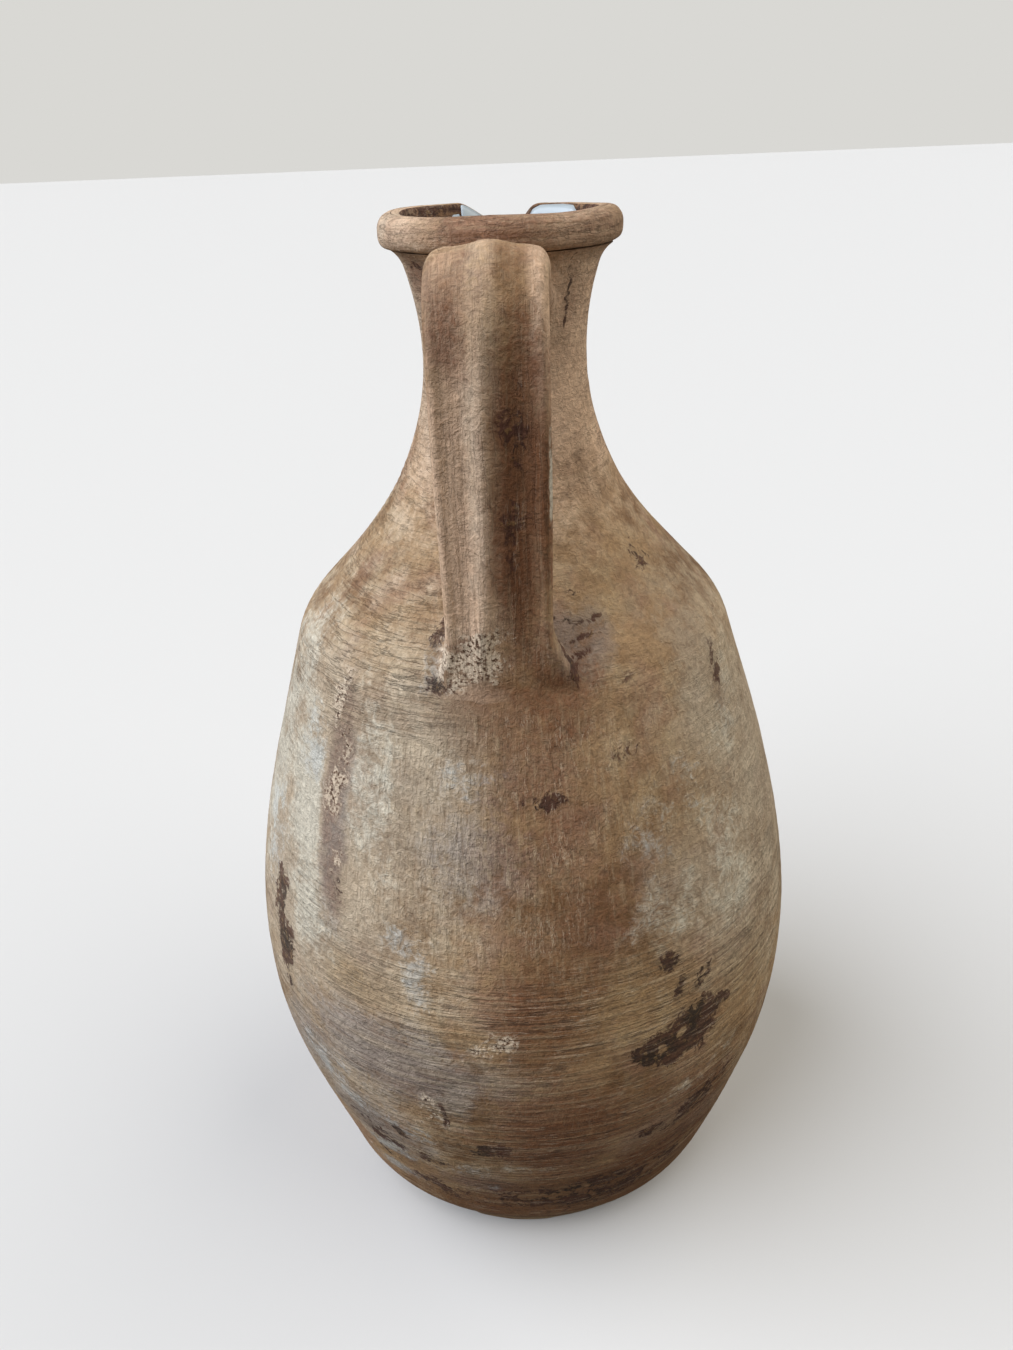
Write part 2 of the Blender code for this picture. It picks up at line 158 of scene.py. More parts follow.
class ClayNoise:
    """Smooth random values on a wrapped lattice, the same in every run."""

    SIZE = 64

    def __init__(self, seed: int) -> None:
        """Fill the lattice from a seed."""
        self.values = np.random.default_rng(seed).uniform(-1.0, 1.0, (self.SIZE,) * 3)

    def at(self, points: Array) -> Array:
        """Return a value from -1 to 1 for each point.

        Args:
            points: Points in lattice cells, one row each.

        Returns:
            The noise at each point.
        """
        cell = np.floor(points).astype(np.int64)
        share = points - cell
        share = share * share * (3.0 - 2.0 * share)
        total = np.zeros(len(points))
        for corner in product((0, 1), repeat=3):
            weight = np.prod(np.where(corner, share, 1.0 - share), axis=1)
            x, y, z = ((cell + corner) % self.SIZE).T
            total += weight * self.values[x, y, z]
        return total

    def layered(self, points: Array, layers: int) -> Array:
        """Return noise with layers added, each twice as fine and half as strong as the one before."""
        return sum(self.at(points * 2.0 ** n + 11.7 * n) * 0.5 ** n for n in range(layers))


@dataclass(frozen=True)
class Station:
    """A place on the outline, with its steepness in radius for each unit of height on either side."""

    height: float
    radius: float
    below: float
    above: float

    def cubic(self, high: "Station", heights: Array) -> Array:
        """Return the radii of a smooth cubic from this station up to another.

        Args:
            high: Station that the cubic reaches.
            heights: Heights to look up.

        Returns:
            The radius at each height.
        """
        rise = high.height - self.height
        t = (heights - self.height) / rise
        return ((2 * t ** 3 - 3 * t ** 2 + 1) * self.radius + (t ** 3 - 2 * t ** 2 + t) * rise * self.above
                + (3 * t ** 2 - 2 * t ** 3) * high.radius + (t ** 3 - t ** 2) * rise * high.below)


class BodyForm:
    """Outline of the turned body, from the same stations as the solids."""

    WALL = 6.0
    CREST = 360.0
    CREASE = 350.3
    HEEL = 18.0
    WIDEST = 109.0
    CORNER = 237.5
    WAIST = 320.0
    BASE_RADIUS = 69.4
    HEEL_RADIUS = 81.4
    WAIST_RADIUS = 25.5
    MOUTH_RADIUS = 28.3
    MOUTH_EDGE = 2.2
    UNDER = 12.0
    HEEL_SLANT = (HEEL_RADIUS - BASE_RADIUS) / HEEL
    STATIONS = (
        Station(-UNDER, BASE_RADIUS - UNDER * HEEL_SLANT, HEEL_SLANT, HEEL_SLANT),
        Station(HEEL, HEEL_RADIUS, HEEL_SLANT, 0.29),
        Station(72.5, 97.3, 0.235, 0.235),
        Station(WIDEST, 100.9, 0.0, 0.0),
        Station(CORNER, 72.3, -0.29, -0.93),
        Station(282.6, 34.9, -0.50, -0.50),
        Station(WAIST, WAIST_RADIUS, 0.0, 0.0),
        Station(344.0, 29.0, 0.30, 0.30),
        Station(CREASE, 33.3, 1.40, 1.40),
    )
    SOFT_EDGES = ((HEEL, 3.5), (CORNER, 7.0))
    STEP = 0.05

    def __init__(self) -> None:
        """Work out the tables of radius, steepness and length along the outline."""
        self.heights = np.arange(self.STATIONS[0].height, self.CREASE + 0.5 * self.STEP, self.STEP)
        self.radii = np.empty_like(self.heights)
        for low, high in zip(self.STATIONS, self.STATIONS[1:]):
            here = (self.heights >= low.height - self.STEP) & (self.heights <= high.height + self.STEP)
            self.radii[here] = low.cubic(high, self.heights[here])
        for height, reach in self.SOFT_EDGES:
            start, edge, end = np.interp((height - reach, height, height + reach), self.heights, self.radii)
            here = np.abs(self.heights - height) < reach
            t = (self.heights[here] - height + reach) / (2.0 * reach)
            self.radii[here] = (1 - t) ** 2 * start + 2 * t * (1 - t) * edge + t ** 2 * end
        self.slopes = np.gradient(self.radii, self.heights)
        self.arcs = np.concatenate(([0.0], np.cumsum(np.hypot(self.STEP, np.diff(self.radii)))))
        self.arcs -= np.interp(0.0, self.heights, self.arcs)

    def radius(self, heights: Array) -> Array:
        """Return the outer radius at each height."""
        return np.interp(heights, self.heights, self.radii)

    def slope(self, heights: Array) -> Array:
        """Return the steepness of the outer face at each height."""
        return np.interp(heights, self.heights, self.slopes)

    def arc(self, heights: Array) -> Array:
        """Return the length along the outer face from the foot to each height."""
        return np.interp(heights, self.heights, self.arcs)

    def height_at_arc(self, arcs: Array) -> Array:
        """Return the height at each length along the outer face."""
        return np.interp(arcs, self.arcs, self.heights)

    def inner(self, heights: Array) -> Array:
        """Return the radius of the wall's inner face.

        Args:
            heights: Heights to look up.

        Returns:
            The radius at each height.
        """
        heights = np.asarray(heights, float)
        parallel = self.radius(heights) - self.WALL * np.hypot(1.0, self.slope(heights))
        waist = Station(self.WAIST, self.WAIST_RADIUS - self.WALL, 0.0, 0.0)
        mouth = Station(self.CREST - self.MOUTH_EDGE, self.MOUTH_RADIUS, 0.45, 0.45)
        flare = waist.cubic(mouth, np.clip(heights, waist.height, mouth.height))
        return np.where(heights < waist.height, parallel, flare)

    def gap(self, points: Array) -> Array:
        """Return how far each point lies outside the turned body."""
        radius = np.hypot(points[:, 0], points[:, 1])
        return (radius - self.radius(points[:, 2])) / np.hypot(1.0, self.slope(points[:, 2]))


class StrapForm:
    """Path and section of the handle, from the same sizes as the solids, with a foot that flares.

    A place in the strap's own frame is a distance across, to the right of its middle, a distance out
    from its middle line, and a length along it, its stop.
    """

    HALF_WIDTH = 15.75
    SKIN = 4.0
    REACH = 72.0
    RIM_RADIUS = 36.4
    SIDE_ROLL = 2.2
    EDGE_ROLL = 1.0
    RISE_OVER_CREASE = 4.4
    DROP_TO_NECK = 9.0
    DROP_TO_RIM = 2.4
    TAIL = 12.0
    TAIL_DEPTH = 9.5
    FLARE_START = 258.0
    FLARE_END = 237.0
    FLARE_RIGHT = 8.0
    FLARE_LEFT = 2.6
    PIECES = 36
    STOPS = 260
    INSIDE_NECK = -15.0
    # The ridge wanders to the left as it falls: stops, and the shift at each.
    RIDGE_PATH = ((30.0, 72.0, 112.0, 150.0), (1.6, -0.9, -1.6, -4.0))
    RIDGE_AT = -0.8
    # Height, place across and width of the low rib beside the ridge, and of the grooves.
    LOW_RIB = (0.45, 4.6, 1.5)
    GROOVES = ((0.90, 8.4, 3.6), (0.25, -9.4, 2.6))

    def __init__(self, body: BodyForm) -> None:
        """Work out the path from under the collar to inside the shoulder.

        Args:
            body: Outline that the strap leaves and meets.
        """
        middle = self.REACH - self.SKIN
        top = body.CREASE + self.RISE_OVER_CREASE - self.SKIN
        end = body.CREASE - self.DROP_TO_NECK - self.SKIN
        under = body.CREASE - self.DROP_TO_RIM - self.SKIN
        neck = float(body.radius(end)) - body.WALL
        above = body.heights > body.WIDEST
        foot = float(np.interp(-middle, -body.radii[above], body.heights[above]))
        tail = foot - self.TAIL
        span = middle - self.RIM_RADIUS
        drop = top - foot
        arch = self.RIM_RADIUS + 0.55 * span
        climb = Vector((arch - neck, top - end))
        # Each knot is a (distance from the axis, height), with its handles before and after.
        knots = [((neck, end), (0.0, 0.0), 0.20 * climb),
                 ((self.RIM_RADIUS, under), -0.20 * climb, 0.10 * climb),
                 ((arch, top), (-0.32 * span, 0.0), (0.26 * span, 0.0)),
                 ((middle, top - 0.19 * drop), (0.0, 0.12 * drop), (0.0, -0.15 * drop)),
                 ((middle, top - 0.76 * drop), (0.0, 0.15 * drop), (0.0, -0.12 * drop)),
                 ((float(body.radius(tail)) - self.TAIL_DEPTH, tail), (0.0, 0.12 * drop), (0.0, 0.0))]
        line = []
        t = np.linspace(0.0, 1.0, self.PIECES + 1)[:, None]
        for (start, _, leave), (stop, arrive, _) in zip(knots, knots[1:]):
            a, d = np.array(start), np.array(stop)
            b, c = a + np.array(leave), d + np.array(arrive)
            curve = (1 - t) ** 3 * a + 3 * t * (1 - t) ** 2 * b + 3 * t ** 2 * (1 - t) * c + t ** 3 * d
            line += list(curve[bool(line):])
        line = np.array(line)
        lengths = np.concatenate(([0.0], np.cumsum(np.linalg.norm(np.diff(line, axis=0), axis=1))))
        self.length = float(lengths[-1])
        self.stops = np.linspace(0.0, self.length, self.STOPS)
        self.line = np.column_stack([np.interp(self.stops, lengths, line[:, n]) for n in (0, 1)])
        along = np.gradient(self.line, self.stops, axis=0)
        self.along = along / np.linalg.norm(along, axis=1)[:, None]
        falling = self.line[:, 1] < self.line[:, 1].max() - 30.0
        self.lift = np.where(falling, np.clip(middle - self.line[:, 0], 0.0, 3.2), 0.0)

    def place(self, across: Array, out: Array, stop: Array) -> Array:
        """Return points in the jug's frame from places in the strap's own.

        Args:
            across: Distances across.
            out: Distances out.
            stop: Lengths along.

        Returns:
            One point for each place.
        """
        centre = np.column_stack([np.interp(stop, self.stops, self.line[:, n]) for n in (0, 1)])
        along = np.column_stack([np.interp(stop, self.stops, self.along[:, n]) for n in (0, 1)])
        spot = centre + np.column_stack((-along[:, 1], along[:, 0])) * out[:, None]
        return np.column_stack((across, -spot[:, 0], spot[:, 1]))

    def nearest(self, points: Array) -> Array:
        """Find the path's stop nearest to each point, in runs that keep the memory small.

        Args:
            points: Points in the jug's frame.

        Returns:
            The number of each point's stop, its seat.
        """
        spots = np.column_stack((-points[:, 1], points[:, 2]))
        found = np.empty(len(points), int)
        run = 8192
        for first in range(0, len(points), run):
            part = spots[first:first + run]
            gaps = ((part[:, None, :] - self.line[None]) ** 2).sum(axis=2)
            found[first:first + run] = gaps.argmin(axis=1)
        return found

    def local(self, points: Array, seat: Array) -> tuple[Array, Array, Array]:
        """Return places in the strap's own frame.

        Args:
            points: Points in the jug's frame.
            seat: Each point's seat on the path.

        Returns:
            Distance across, distance out and length along, for each point.
        """
        spots = np.column_stack((-points[:, 1], points[:, 2])) - self.line[seat]
        along = self.along[seat]
        out = -spots[:, 0] * along[:, 1] + spots[:, 1] * along[:, 0]
        return points[:, 0], out, self.stops[seat] + (spots * along).sum(axis=1)

    def foot_share(self, stop: Array) -> Array:
        """Return how far the strap has turned into its foot.

        Args:
            stop: Lengths along.

        Returns:
            A share from 0 to 1 at each length.
        """
        heights = np.interp(stop, self.stops, self.line[:, 1])
        lowered = heights < self.line[:, 1].max() - 20.0
        return np.where(lowered, ease(self.FLARE_START, self.FLARE_END, heights), 0.0)

    def half_width(self, across: Array, stop: Array) -> Array:
        """Return the strap's half width, on the side of each place.

        Args:
            across: Distances across, of which the sign counts.
            stop: Lengths along.

        Returns:
            The half width at each place.
        """
        flare = self.foot_share(stop) ** 1.4
        grown = np.where(across > 0.0, self.FLARE_RIGHT, self.FLARE_LEFT) * flare
        narrow = 0.5 * ease(300.0, 262.0, np.interp(stop, self.stops, self.line[:, 1]))
        return self.HALF_WIDTH - narrow + grown

    def sag(self, across: Array, stop: Array) -> Array:
        """Return how far the foot's outer face bends back round the body at each place."""
        return self.foot_share(stop) * across ** 2 / (2.0 * self.REACH)

    def outer_face(self, across: Array, stop: Array) -> Array:
        """Return the height of the outer face over the middle line, with its ridge, rib and rolled edges.

        Args:
            across: Distances across.
            stop: Lengths along.

        Returns:
            The outer face at each place.
        """
        half = self.half_width(across, stop)
        foot = self.foot_share(stop)
        fade = 1.0 - 0.9 * foot
        start = ease(34.0, 84.0, stop)
        shift = np.interp(stop, *self.RIDGE_PATH)
        face = self.SKIN - self.EDGE_ROLL * (1.0 - foot) + np.interp(stop, self.stops, self.lift)
        roll = np.where(across > 0.0, 1.2 * (1.0 - 0.4 * foot), 0.5 * fade)
        face = face + roll * round_rib(half - 1.5 - np.abs(across), 1.6) * start
        lean = np.where(across < self.RIDGE_AT + shift, 2.9, 3.4) + 2.4 * (1.0 - start)
        face = face + (1.5 + 1.3 * start) * fade * round_rib(across - self.RIDGE_AT - shift, lean)
        height, place, width = self.LOW_RIB
        face = face + height * fade * start * round_rib(across - place - shift, width)
        for depth, place, width in self.GROOVES:
            face = face - depth * fade * start * round_rib(across - place, width)
        face = face - 2.0 * (1.0 - start) * ease(0.66, 1.06, np.abs(across) / half) ** 1.5
        return face - self.sag(across, stop)

    def gap(self, points: Array, seat: Array) -> Array:
        """Return how far each point lies outside the strap.

        Args:
            points: Points in the jug's frame.
            seat: Each point's seat on the path.

        Returns:
            The distance, which is negative inside the clay.
        """
        across, out, stop = self.local(points, seat)
        half = self.half_width(across, stop)
        reach = np.clip(across, -half, half)
        face = self.outer_face(reach, stop)
        under = self.SKIN + self.sag(reach, stop)
        thick = np.maximum(0.5 * (face + under), 1.0)
        side = np.maximum(np.abs(across) - (half - self.SIDE_ROLL), 0.0) / self.SIDE_ROLL
        level = (out - 0.5 * (face - under)) / thick
        size = np.sqrt(side ** 2 + level ** 2) + 1e-6
        steep = np.sqrt((side / self.SIDE_ROLL) ** 2 + (level / thick) ** 2) + 1e-6
        return (size - 1.0) * size / steep + np.maximum(points[:, 1] - self.INSIDE_NECK, 0.0)


class JugSurface:
    """The body and the strap as one clay surface with soft joins."""

    JOIN = 3.2
    CRACK = 0.45
    OVERLAP = 0.7
    DIVE = 2.2
    SINK = 0.9

    def __init__(self) -> None:
        """Make the two forms."""
        self.body = BodyForm()
        self.strap = StrapForm(self.body)

    def gaps(self, points: Array, seat: Array) -> tuple[Array, Array, Array]:
        """Return how far points lie from the clay. The join is wide, but a crack right of the foot.

        Args:
            points: Points in the jug's frame.
            seat: Each point's seat on the strap's path.

        Returns:
            The distance from the joined surface, from the body and from the strap.
        """
        body = self.body.gap(points)
        strap = self.strap.gap(points, seat)
        crack = ease(9.0, 15.0, points[:, 0]) * ease(262.0, 250.0, points[:, 2])
        join = self.JOIN - (self.JOIN - self.CRACK) * crack
        near = np.clip(1.0 - np.abs(body - strap) / join, 0.0, 1.0)
        return np.minimum(body, strap) - 0.25 * join * near ** 2, body, strap

    def settle(self, points: Array, normals: Array, on_body: bool) -> tuple[Array, Array, Array, Array]:
        """Move the points near a join on to the joined surface, and sink those that the other part hides.

        Args:
            points: Points on the body, or on the strap.
            normals: Directions out of the part at the points.
            on_body: Whether the points are the body's.

        Returns:
            The points, the directions out of the clay, how far each point is hidden from 0 to 1, and how
            near it lies to the join from 0 to 1.
        """
        points, normals = points.copy(), normals.copy()
        seat = self.strap.nearest(points)
        hidden = np.zeros(len(points))
        close = np.zeros(len(points))
        _, body, strap = self.gaps(points, seat)
        lead = body - strap if on_body else strap - body
        deep = lead > self.JOIN
        hidden[deep] = 1.0
        near = np.flatnonzero(np.abs(lead) <= self.JOIN)
        if len(near):
            spots, place = points[near], seat[near]

            def joined(here: Array) -> Array:
                """Return how far places near the join lie outside the clay."""
                return self.gaps(here, place)[0]

            for _ in range(4):
                gap = np.clip(self.gaps(spots, place)[0], -1.0, 1.0)
                spots = spots - gap[:, None] * outward(joined, spots)
            _, body, strap = self.gaps(spots, place)
            lead = body - strap if on_body else strap - body
            hidden[near] = ease(self.OVERLAP, self.DIVE, lead)
            close[near] = 1.0 - ease(0.0, self.JOIN, np.abs(lead))
            normals[near] = outward(joined, spots)
            sunk = points[near] - self.SINK * normals[near]
            points[near] = spots + (sunk - spots) * hidden[near][:, None]
        points[deep] -= self.SINK * normals[deep]
        return points, normals, hidden, close


@dataclass(frozen=True)
class Patch:
    """A patch of one paint. It lies at a place, with half sizes along and up the surface.

    The place is an azimuth on the body, or a distance across on the strap, and a height.
    A strength below 0 wipes away what the patches before it laid down.
    """

    place: float
    height: float
    half_width: float
    half_height: float
    turn: float = 0.0
    strength: float = 1.0
    soft: float = 0.9

    def lay(self, under: Array, across: Array, up: Array, share: Array | float = 1.0) -> Array:
        """Lay the patch over what its paint already covers.

        Args:
            under: Cover of the paint so far.
            across: Distance of each point to the right of the patch's middle.
            up: Distance of each point above it.
            share: How much of the patch each point takes.

        Returns:
            The new cover at each point.
        """
        turn = math.radians(self.turn)
        along = across * math.cos(turn) + up * math.sin(turn)
        over = up * math.cos(turn) - across * math.sin(turn)
        far = np.hypot(along / self.half_width, over / self.half_height)
        cover = self.strength * (1.0 - ease(1.0 - self.soft, 1.0 + self.soft, far)) * share
        return np.maximum(under, cover) if self.strength > 0.0 else under * (1.0 + cover)


# Each row is a Patch's fields in their order, of which the last may be left out.
BODY_PATCHES: dict[Paint, tuple[tuple[float, ...], ...]] = {
    Paint.WASH: (
        # Painted light in part: (-50, 178) and (-22, 208) pale the belly's left, window side, partly slip and
        # partly painted light. (-54, 324) on the neck and (-72, 357) on the collar are painted light on the
        # upper parts.
        (-50, 178, 62, 78), (-42, 92, 44, 34, 0, 0.7), (42, 168, 24, 26, 0, 0.75), (58, 214, 22, 26),
        (52, 160, 26, 34, 0, 0.9), (-22, 208, 26, 38, 0, 0.9), (-54, 324, 20, 30, 0, 0.7),
        (72, 185, 46, 64, 0, 0.85), (10, 264, 30, 22, 0, 0.3), (-72, 357, 12, 7, 0, 0.6),
        (29, 74, 15, 8, 20, 0.7), (-6, 54, 16, 11, 0, 0.4), (-50, 254, 26, 12, 0, -0.4),
        (150, 220, 60, 40, 0, 0.8), (-140, 130, 50, 60, 0, 0.7),
    ),
    Paint.UMBER: (
        (4, 232, 24, 14, 0, 0.62), (4, 192, 16, 24, 0, 0.42), (8, 140, 16, 40, 0, 0.66),
        (9, 82, 20, 38, 0, 0.7), (26, 176, 14, 24, 0, 0.4), (20, 46, 60, 14, 0, 0.9), (18, 28, 64, 16),
        # Painted shade: (20, 46) and (18, 28) darken the foot towards the floor.
        (24, 98, 26, 10, 0, 0.2), (30, 146, 12, 6, 0, 0.35), (22, 246, 9, 7, 4, 0.5),
        (11, 242, 6, 9, 10, 0.8), (59, 218, 6, 14, 10, 0.5), (-40, 204, 5.5, 32, -2, 0.62, 0.7),
        (-37.5, 172, 6, 18, 4, 0.55, 0.7), (2, 206, 14, 14, 0, 0.34),
    ),
    Paint.SOOT: (
        # Painted shade: (16, 34) darkens the foot towards the floor.
        (16, 34, 40, 9, 0, 0.62), (42, 42, 26, 4, 0, 0.6), (28, 72, 12, 4, 8, 0.55),
        (-25, 72, 2, 5, 0, 0.8), (-33, 44, 12, 4, 8, 0.7), (-13, 91, 1.4, 7, 0, 0.8),
        (-4, 76, 6, 4, 0, 0.8), (-20, 58, 10, 4, 0, 0.6), (-40, 346, 8, 3, 0, 0.5),
        (46, 336, 1.2, 12, 6, 0.6), (27, 115, 7, 5.5, 14, 1.1, 0.7), (36.5, 118.5, 10, 9, 24, 1, 0.8),
        (31.5, 113.5, 7, 6.5, 30), (43.5, 121.5, 5, 5.5, 0, 0.7), (33.2, 118, 1.8, 1.8, 0, -1, 0.4),
        (28.5, 115.5, 2.2, 2.4, 30, -0.75, 0.5), (31.5, 146, 4, 4, 0, 0.75), (33.5, 137, 2.6, 6, -24, 0.65),
        (39, 137, 2.6, 5.5, -30, 0.65), (-56, 148, 6, 12, 8, 0.75), (-53.5, 132, 6, 10, -8, 0.95),
        (-52, 118, 4, 9, 0, 0.6), (9, 206, 6.5, 3, 8, 0.85), (19, 244, 6, 1.2, -6, 0.46),
        # Painted shade: (16.2, 243) is the shadow in the crack right of the handle's foot, and (-156, 357) the
        # shadow in the crease at the lip's left flank.
        (21, 248.2, 8, 1, -2, 0.52), (16.2, 243, 0.8, 9, 13, 0.8, 0.6), (-156, 357, 0.9, 5, 0, 1.1, 0.5),
        (21, 258, 8, 0.9, 4, 0.48), (20, 252.5, 9, 1, 1, 0.54), (58.5, 262, 8, 3.4, 10, 0.5),
        (-17, 248, 3, 7, 0, 0.65), (-13.5, 238.5, 5, 3, 10, 0.7), (60, 226, 4, 9, -6, 0.54),
        (54, 190, 8, 8, 0, 0.32), (30, 216, 9, 2, 8, 0.34), (30, 234, 6, 1.6, 28, 0.3),
        (-35.5, 171, 5, 7, 0, 0.55), (-6.5, 72, 7, 4, -10, 0.7), (39, 76, 18, 6, 18, 0.6),
        (15, 43, 22, 6, 6, 0.68), (-34, 62, 14, 6, -20, 0.6), (-18, 36, 14, 6, 0, 0.6),
        (-39, 216, 3, 7, -20, 0.5), (152, 150, 7, 11, 20, 0.8), (-128, 176, 5, 12, -12, 0.75),
        (112, 84, 14, 6, 14, 0.7), (-90, 120, 6, 12, 0, 0.7), (175, 60, 16, 5, 0, 0.65),
        (-155, 252, 9, 3, 0, 0.6),
    ),
    Paint.CREAM: (
        (24, 66, 10, 3, 8, 0.3), (0, 62, 16, 4, 4, 0.32), (40, 92, 20, 4, 16, 0.4),
        (-50, 192, 12, 26, 8, 0.9), (-70, 196, 16, 42, 0, 0.75), (-44, 158, 14, 20, 14, 0.7),
        (33, 163, 20, 12, 12, 0.42), (50, 168, 14, 30, 0, 0.45), (-62, 226, 12, 22, 0, 0.6),
        (-30, 205, 12, 34, 10, 0.5), (-40, 204, 5.5, 34, -2, -0.9, 0.7), (-37.5, 174, 6, 18, 4, -0.9, 0.7),
        (60, 214, 14, 20, 0, 0.35), (172, 178, 26, 34, 20, 0.6), (-112, 214, 18, 30, -10, 0.7),
        (118, 120, 22, 26, 0, 0.5),
    ),
    Paint.CHALK: (
        (-12, 44, 12, 3, 0, 0.36), (-30, 52, 12, 6, 10, 0.7), (-28, 78, 22, 5, -8, 0.6),
        (-34, 34, 22, 5, 0, 0.55), (-64, 170, 12, 22, 8, 0.5), (-42, 92, 16, 10, 0, 0.5),
        (-20, 160, 8, 7, -10, 0.7), (-17, 148, 6, 12, 10, 0.6), (-15.5, 243, 5, 8, -10, 0.6),
        (-8, 214, 12, 9, 20, 0.36), (-49, 208, 9, 13, 12, 0.6), (-12, 56, 12, 5, -4, 0.5),
        (30, 188, 12, 12, 20, 0.32), (42, 200, 16, 10, 10, 0.34), (132, 190, 12, 16, 10, 0.5),
        (-150, 96, 18, 9, 0, 0.5),
    ),
    Paint.ASH: (
        (-32, 68, 22, 20, 0, 0.8), (-42, 100, 14, 12, 0, 0.8), (22, 247, 10, 8, 4), (-39, 190, 6, 34, 2),
        (-24, 112, 36, 16, -6), (-46, 96, 22, 24, 10, 0.65), (-6, 190, 18, 18, 10, 0.55),
        (-2, 108, 18, 10, 0, 0.5), (44, 58, 22, 12, 20, 0.5), (-9, 46, 20, 10, 0, 0.55),
        (52, 246, 18, 16, 0, 0.35), (-120, 82, 34, 18, 8, 0.6), (140, 236, 20, 12, 0, 0.5),
    ),
    Paint.BUFF: (
        # Painted light: (34, 36.5) is a thin painted highlight low on the belly's right; (24, 322) brightens
        # the neck right of the handle; (-70, 357) and (70, 357) brighten the collar.
        (34, 36.5, 38, 1.1, 5, 1, 0.5), (24, 322, 90, 44, 0, 0.92), (-70, 357, 30, 9),
        (70, 357, 30, 9, 0, 0.45), (-8, 252, 9, 12, 0, 0.9),
    ),
    Paint.RUST: (
        (2, 356, 18, 8), (-48, 340, 8, 12, 0, 0.8), (48, 334, 4, 12, 0, 0.4), (14, 232, 16, 12, -20, 0.62),
        (10, 206, 18, 24, 0, 0.6), (10, 84, 26, 26, 0, 0.8), (2, 138, 12, 22, 4, 0.6),
        (-6, 250.5, 6, 3, 0, 0.9), (18, 166, 14, 20, 0, 0.6), (34, 70, 34, 30, 10, 0.75),
        (0, 30, 70, 22, 0, 0.35), (52, 356, 34, 8, 0, 0.5), (160, 90, 40, 24, 0, 0.7),
        (-100, 160, 20, 34, 0, 0.6), (180, 246, 30, 12, 0, 0.6),
    ),
    Paint.CRUST: (
        (-41, 224, 4, 13, 8, 0.55), (-40, 202, 4.4, 16, -4, 0.68), (-37.5, 178, 4.4, 15, 4, 0.42),
        (-3.2, 248.5, 7.5, 7, 0, 0.95), (-10, 244.5, 8, 6.5, 0, 0.85), (-3.5, 126, 9, 5, 0, 0.6),
        (-16, 90, 6, 10, 10, 0.5), (105, 196, 7, 18, 6, 0.6), (-165, 200, 9, 7, 0, 0.6),
    ),
    Paint.OCHRE: (
        (57, 222, 7, 14, 0, 0.4), (42, 250, 36, 22, 0, 0.4), (50, 130, 16, 24, 0, 0.45),
        (18, 112, 36, 40, 0, 0.36), (3, 241, 8, 5, 0, 0.7), (20, 140, 30, 18, 8, 0.6),
        (38, 196, 24, 26, 8, 0.45), (-31, 140, 16, 9, -12, 0.6), (100, 160, 24, 20, 0, 0.6),
        (-170, 140, 26, 18, 0, 0.5),
    ),
}
STRAP_PATCHES: dict[Paint, tuple[tuple[float, ...], ...]] = {
    Paint.SOOT: (
        (6.5, 311, 4.5, 12, 0, 0.5), (6, 284, 5, 14, 0, 0.34), (8, 262, 7, 10, 0, 0.24),
    ),
    Paint.UMBER: (
        # Painted shade: (8, 250) darkens the flared right side of the handle's foot, which turns towards the
        # light.
        (6, 288, 6.5, 52, 0, 0.86), (8, 250, 10, 14, 0, 0.5), (13, 296, 4, 30, 0, 0.85),
        (-9, 338, 8, 12, 0, 0.2),
    ),
    Paint.CREAM: (
        # A painted highlight along the strap's rolled right edge.
        (16.6, 290, 1, 30, 0, 0.8, 0.6),
    ),
    Paint.BUFF: (
        # Painted light on the strap's left flank and ridge, which face the window, and at the top of its right
        # edge.
        (-9, 286, 9, 60), (-7, 284, 10, 56, 0, 1.1), (14, 336, 3.6, 24), (-1.5, 306, 4.5, 56, 0, 0.95),
    ),
    # Painted light on the strap's ridge and its upper face.
    Paint.WASH: (
        (-3.6, 300, 3.4, 52, 0, 0.55), (0.5, 334, 3.5, 18, 0, 0.5),
    ),
    Paint.RUST: (
        (-10, 334, 6, 14, 0, 0.7), (8, 296, 9, 50, 0, 0.9), (-11, 325, 3, 24, 0, 0.35),
    ),
    Paint.OCHRE: (
        (2, 342, 14, 14, 0, 0.5),
    ),
}


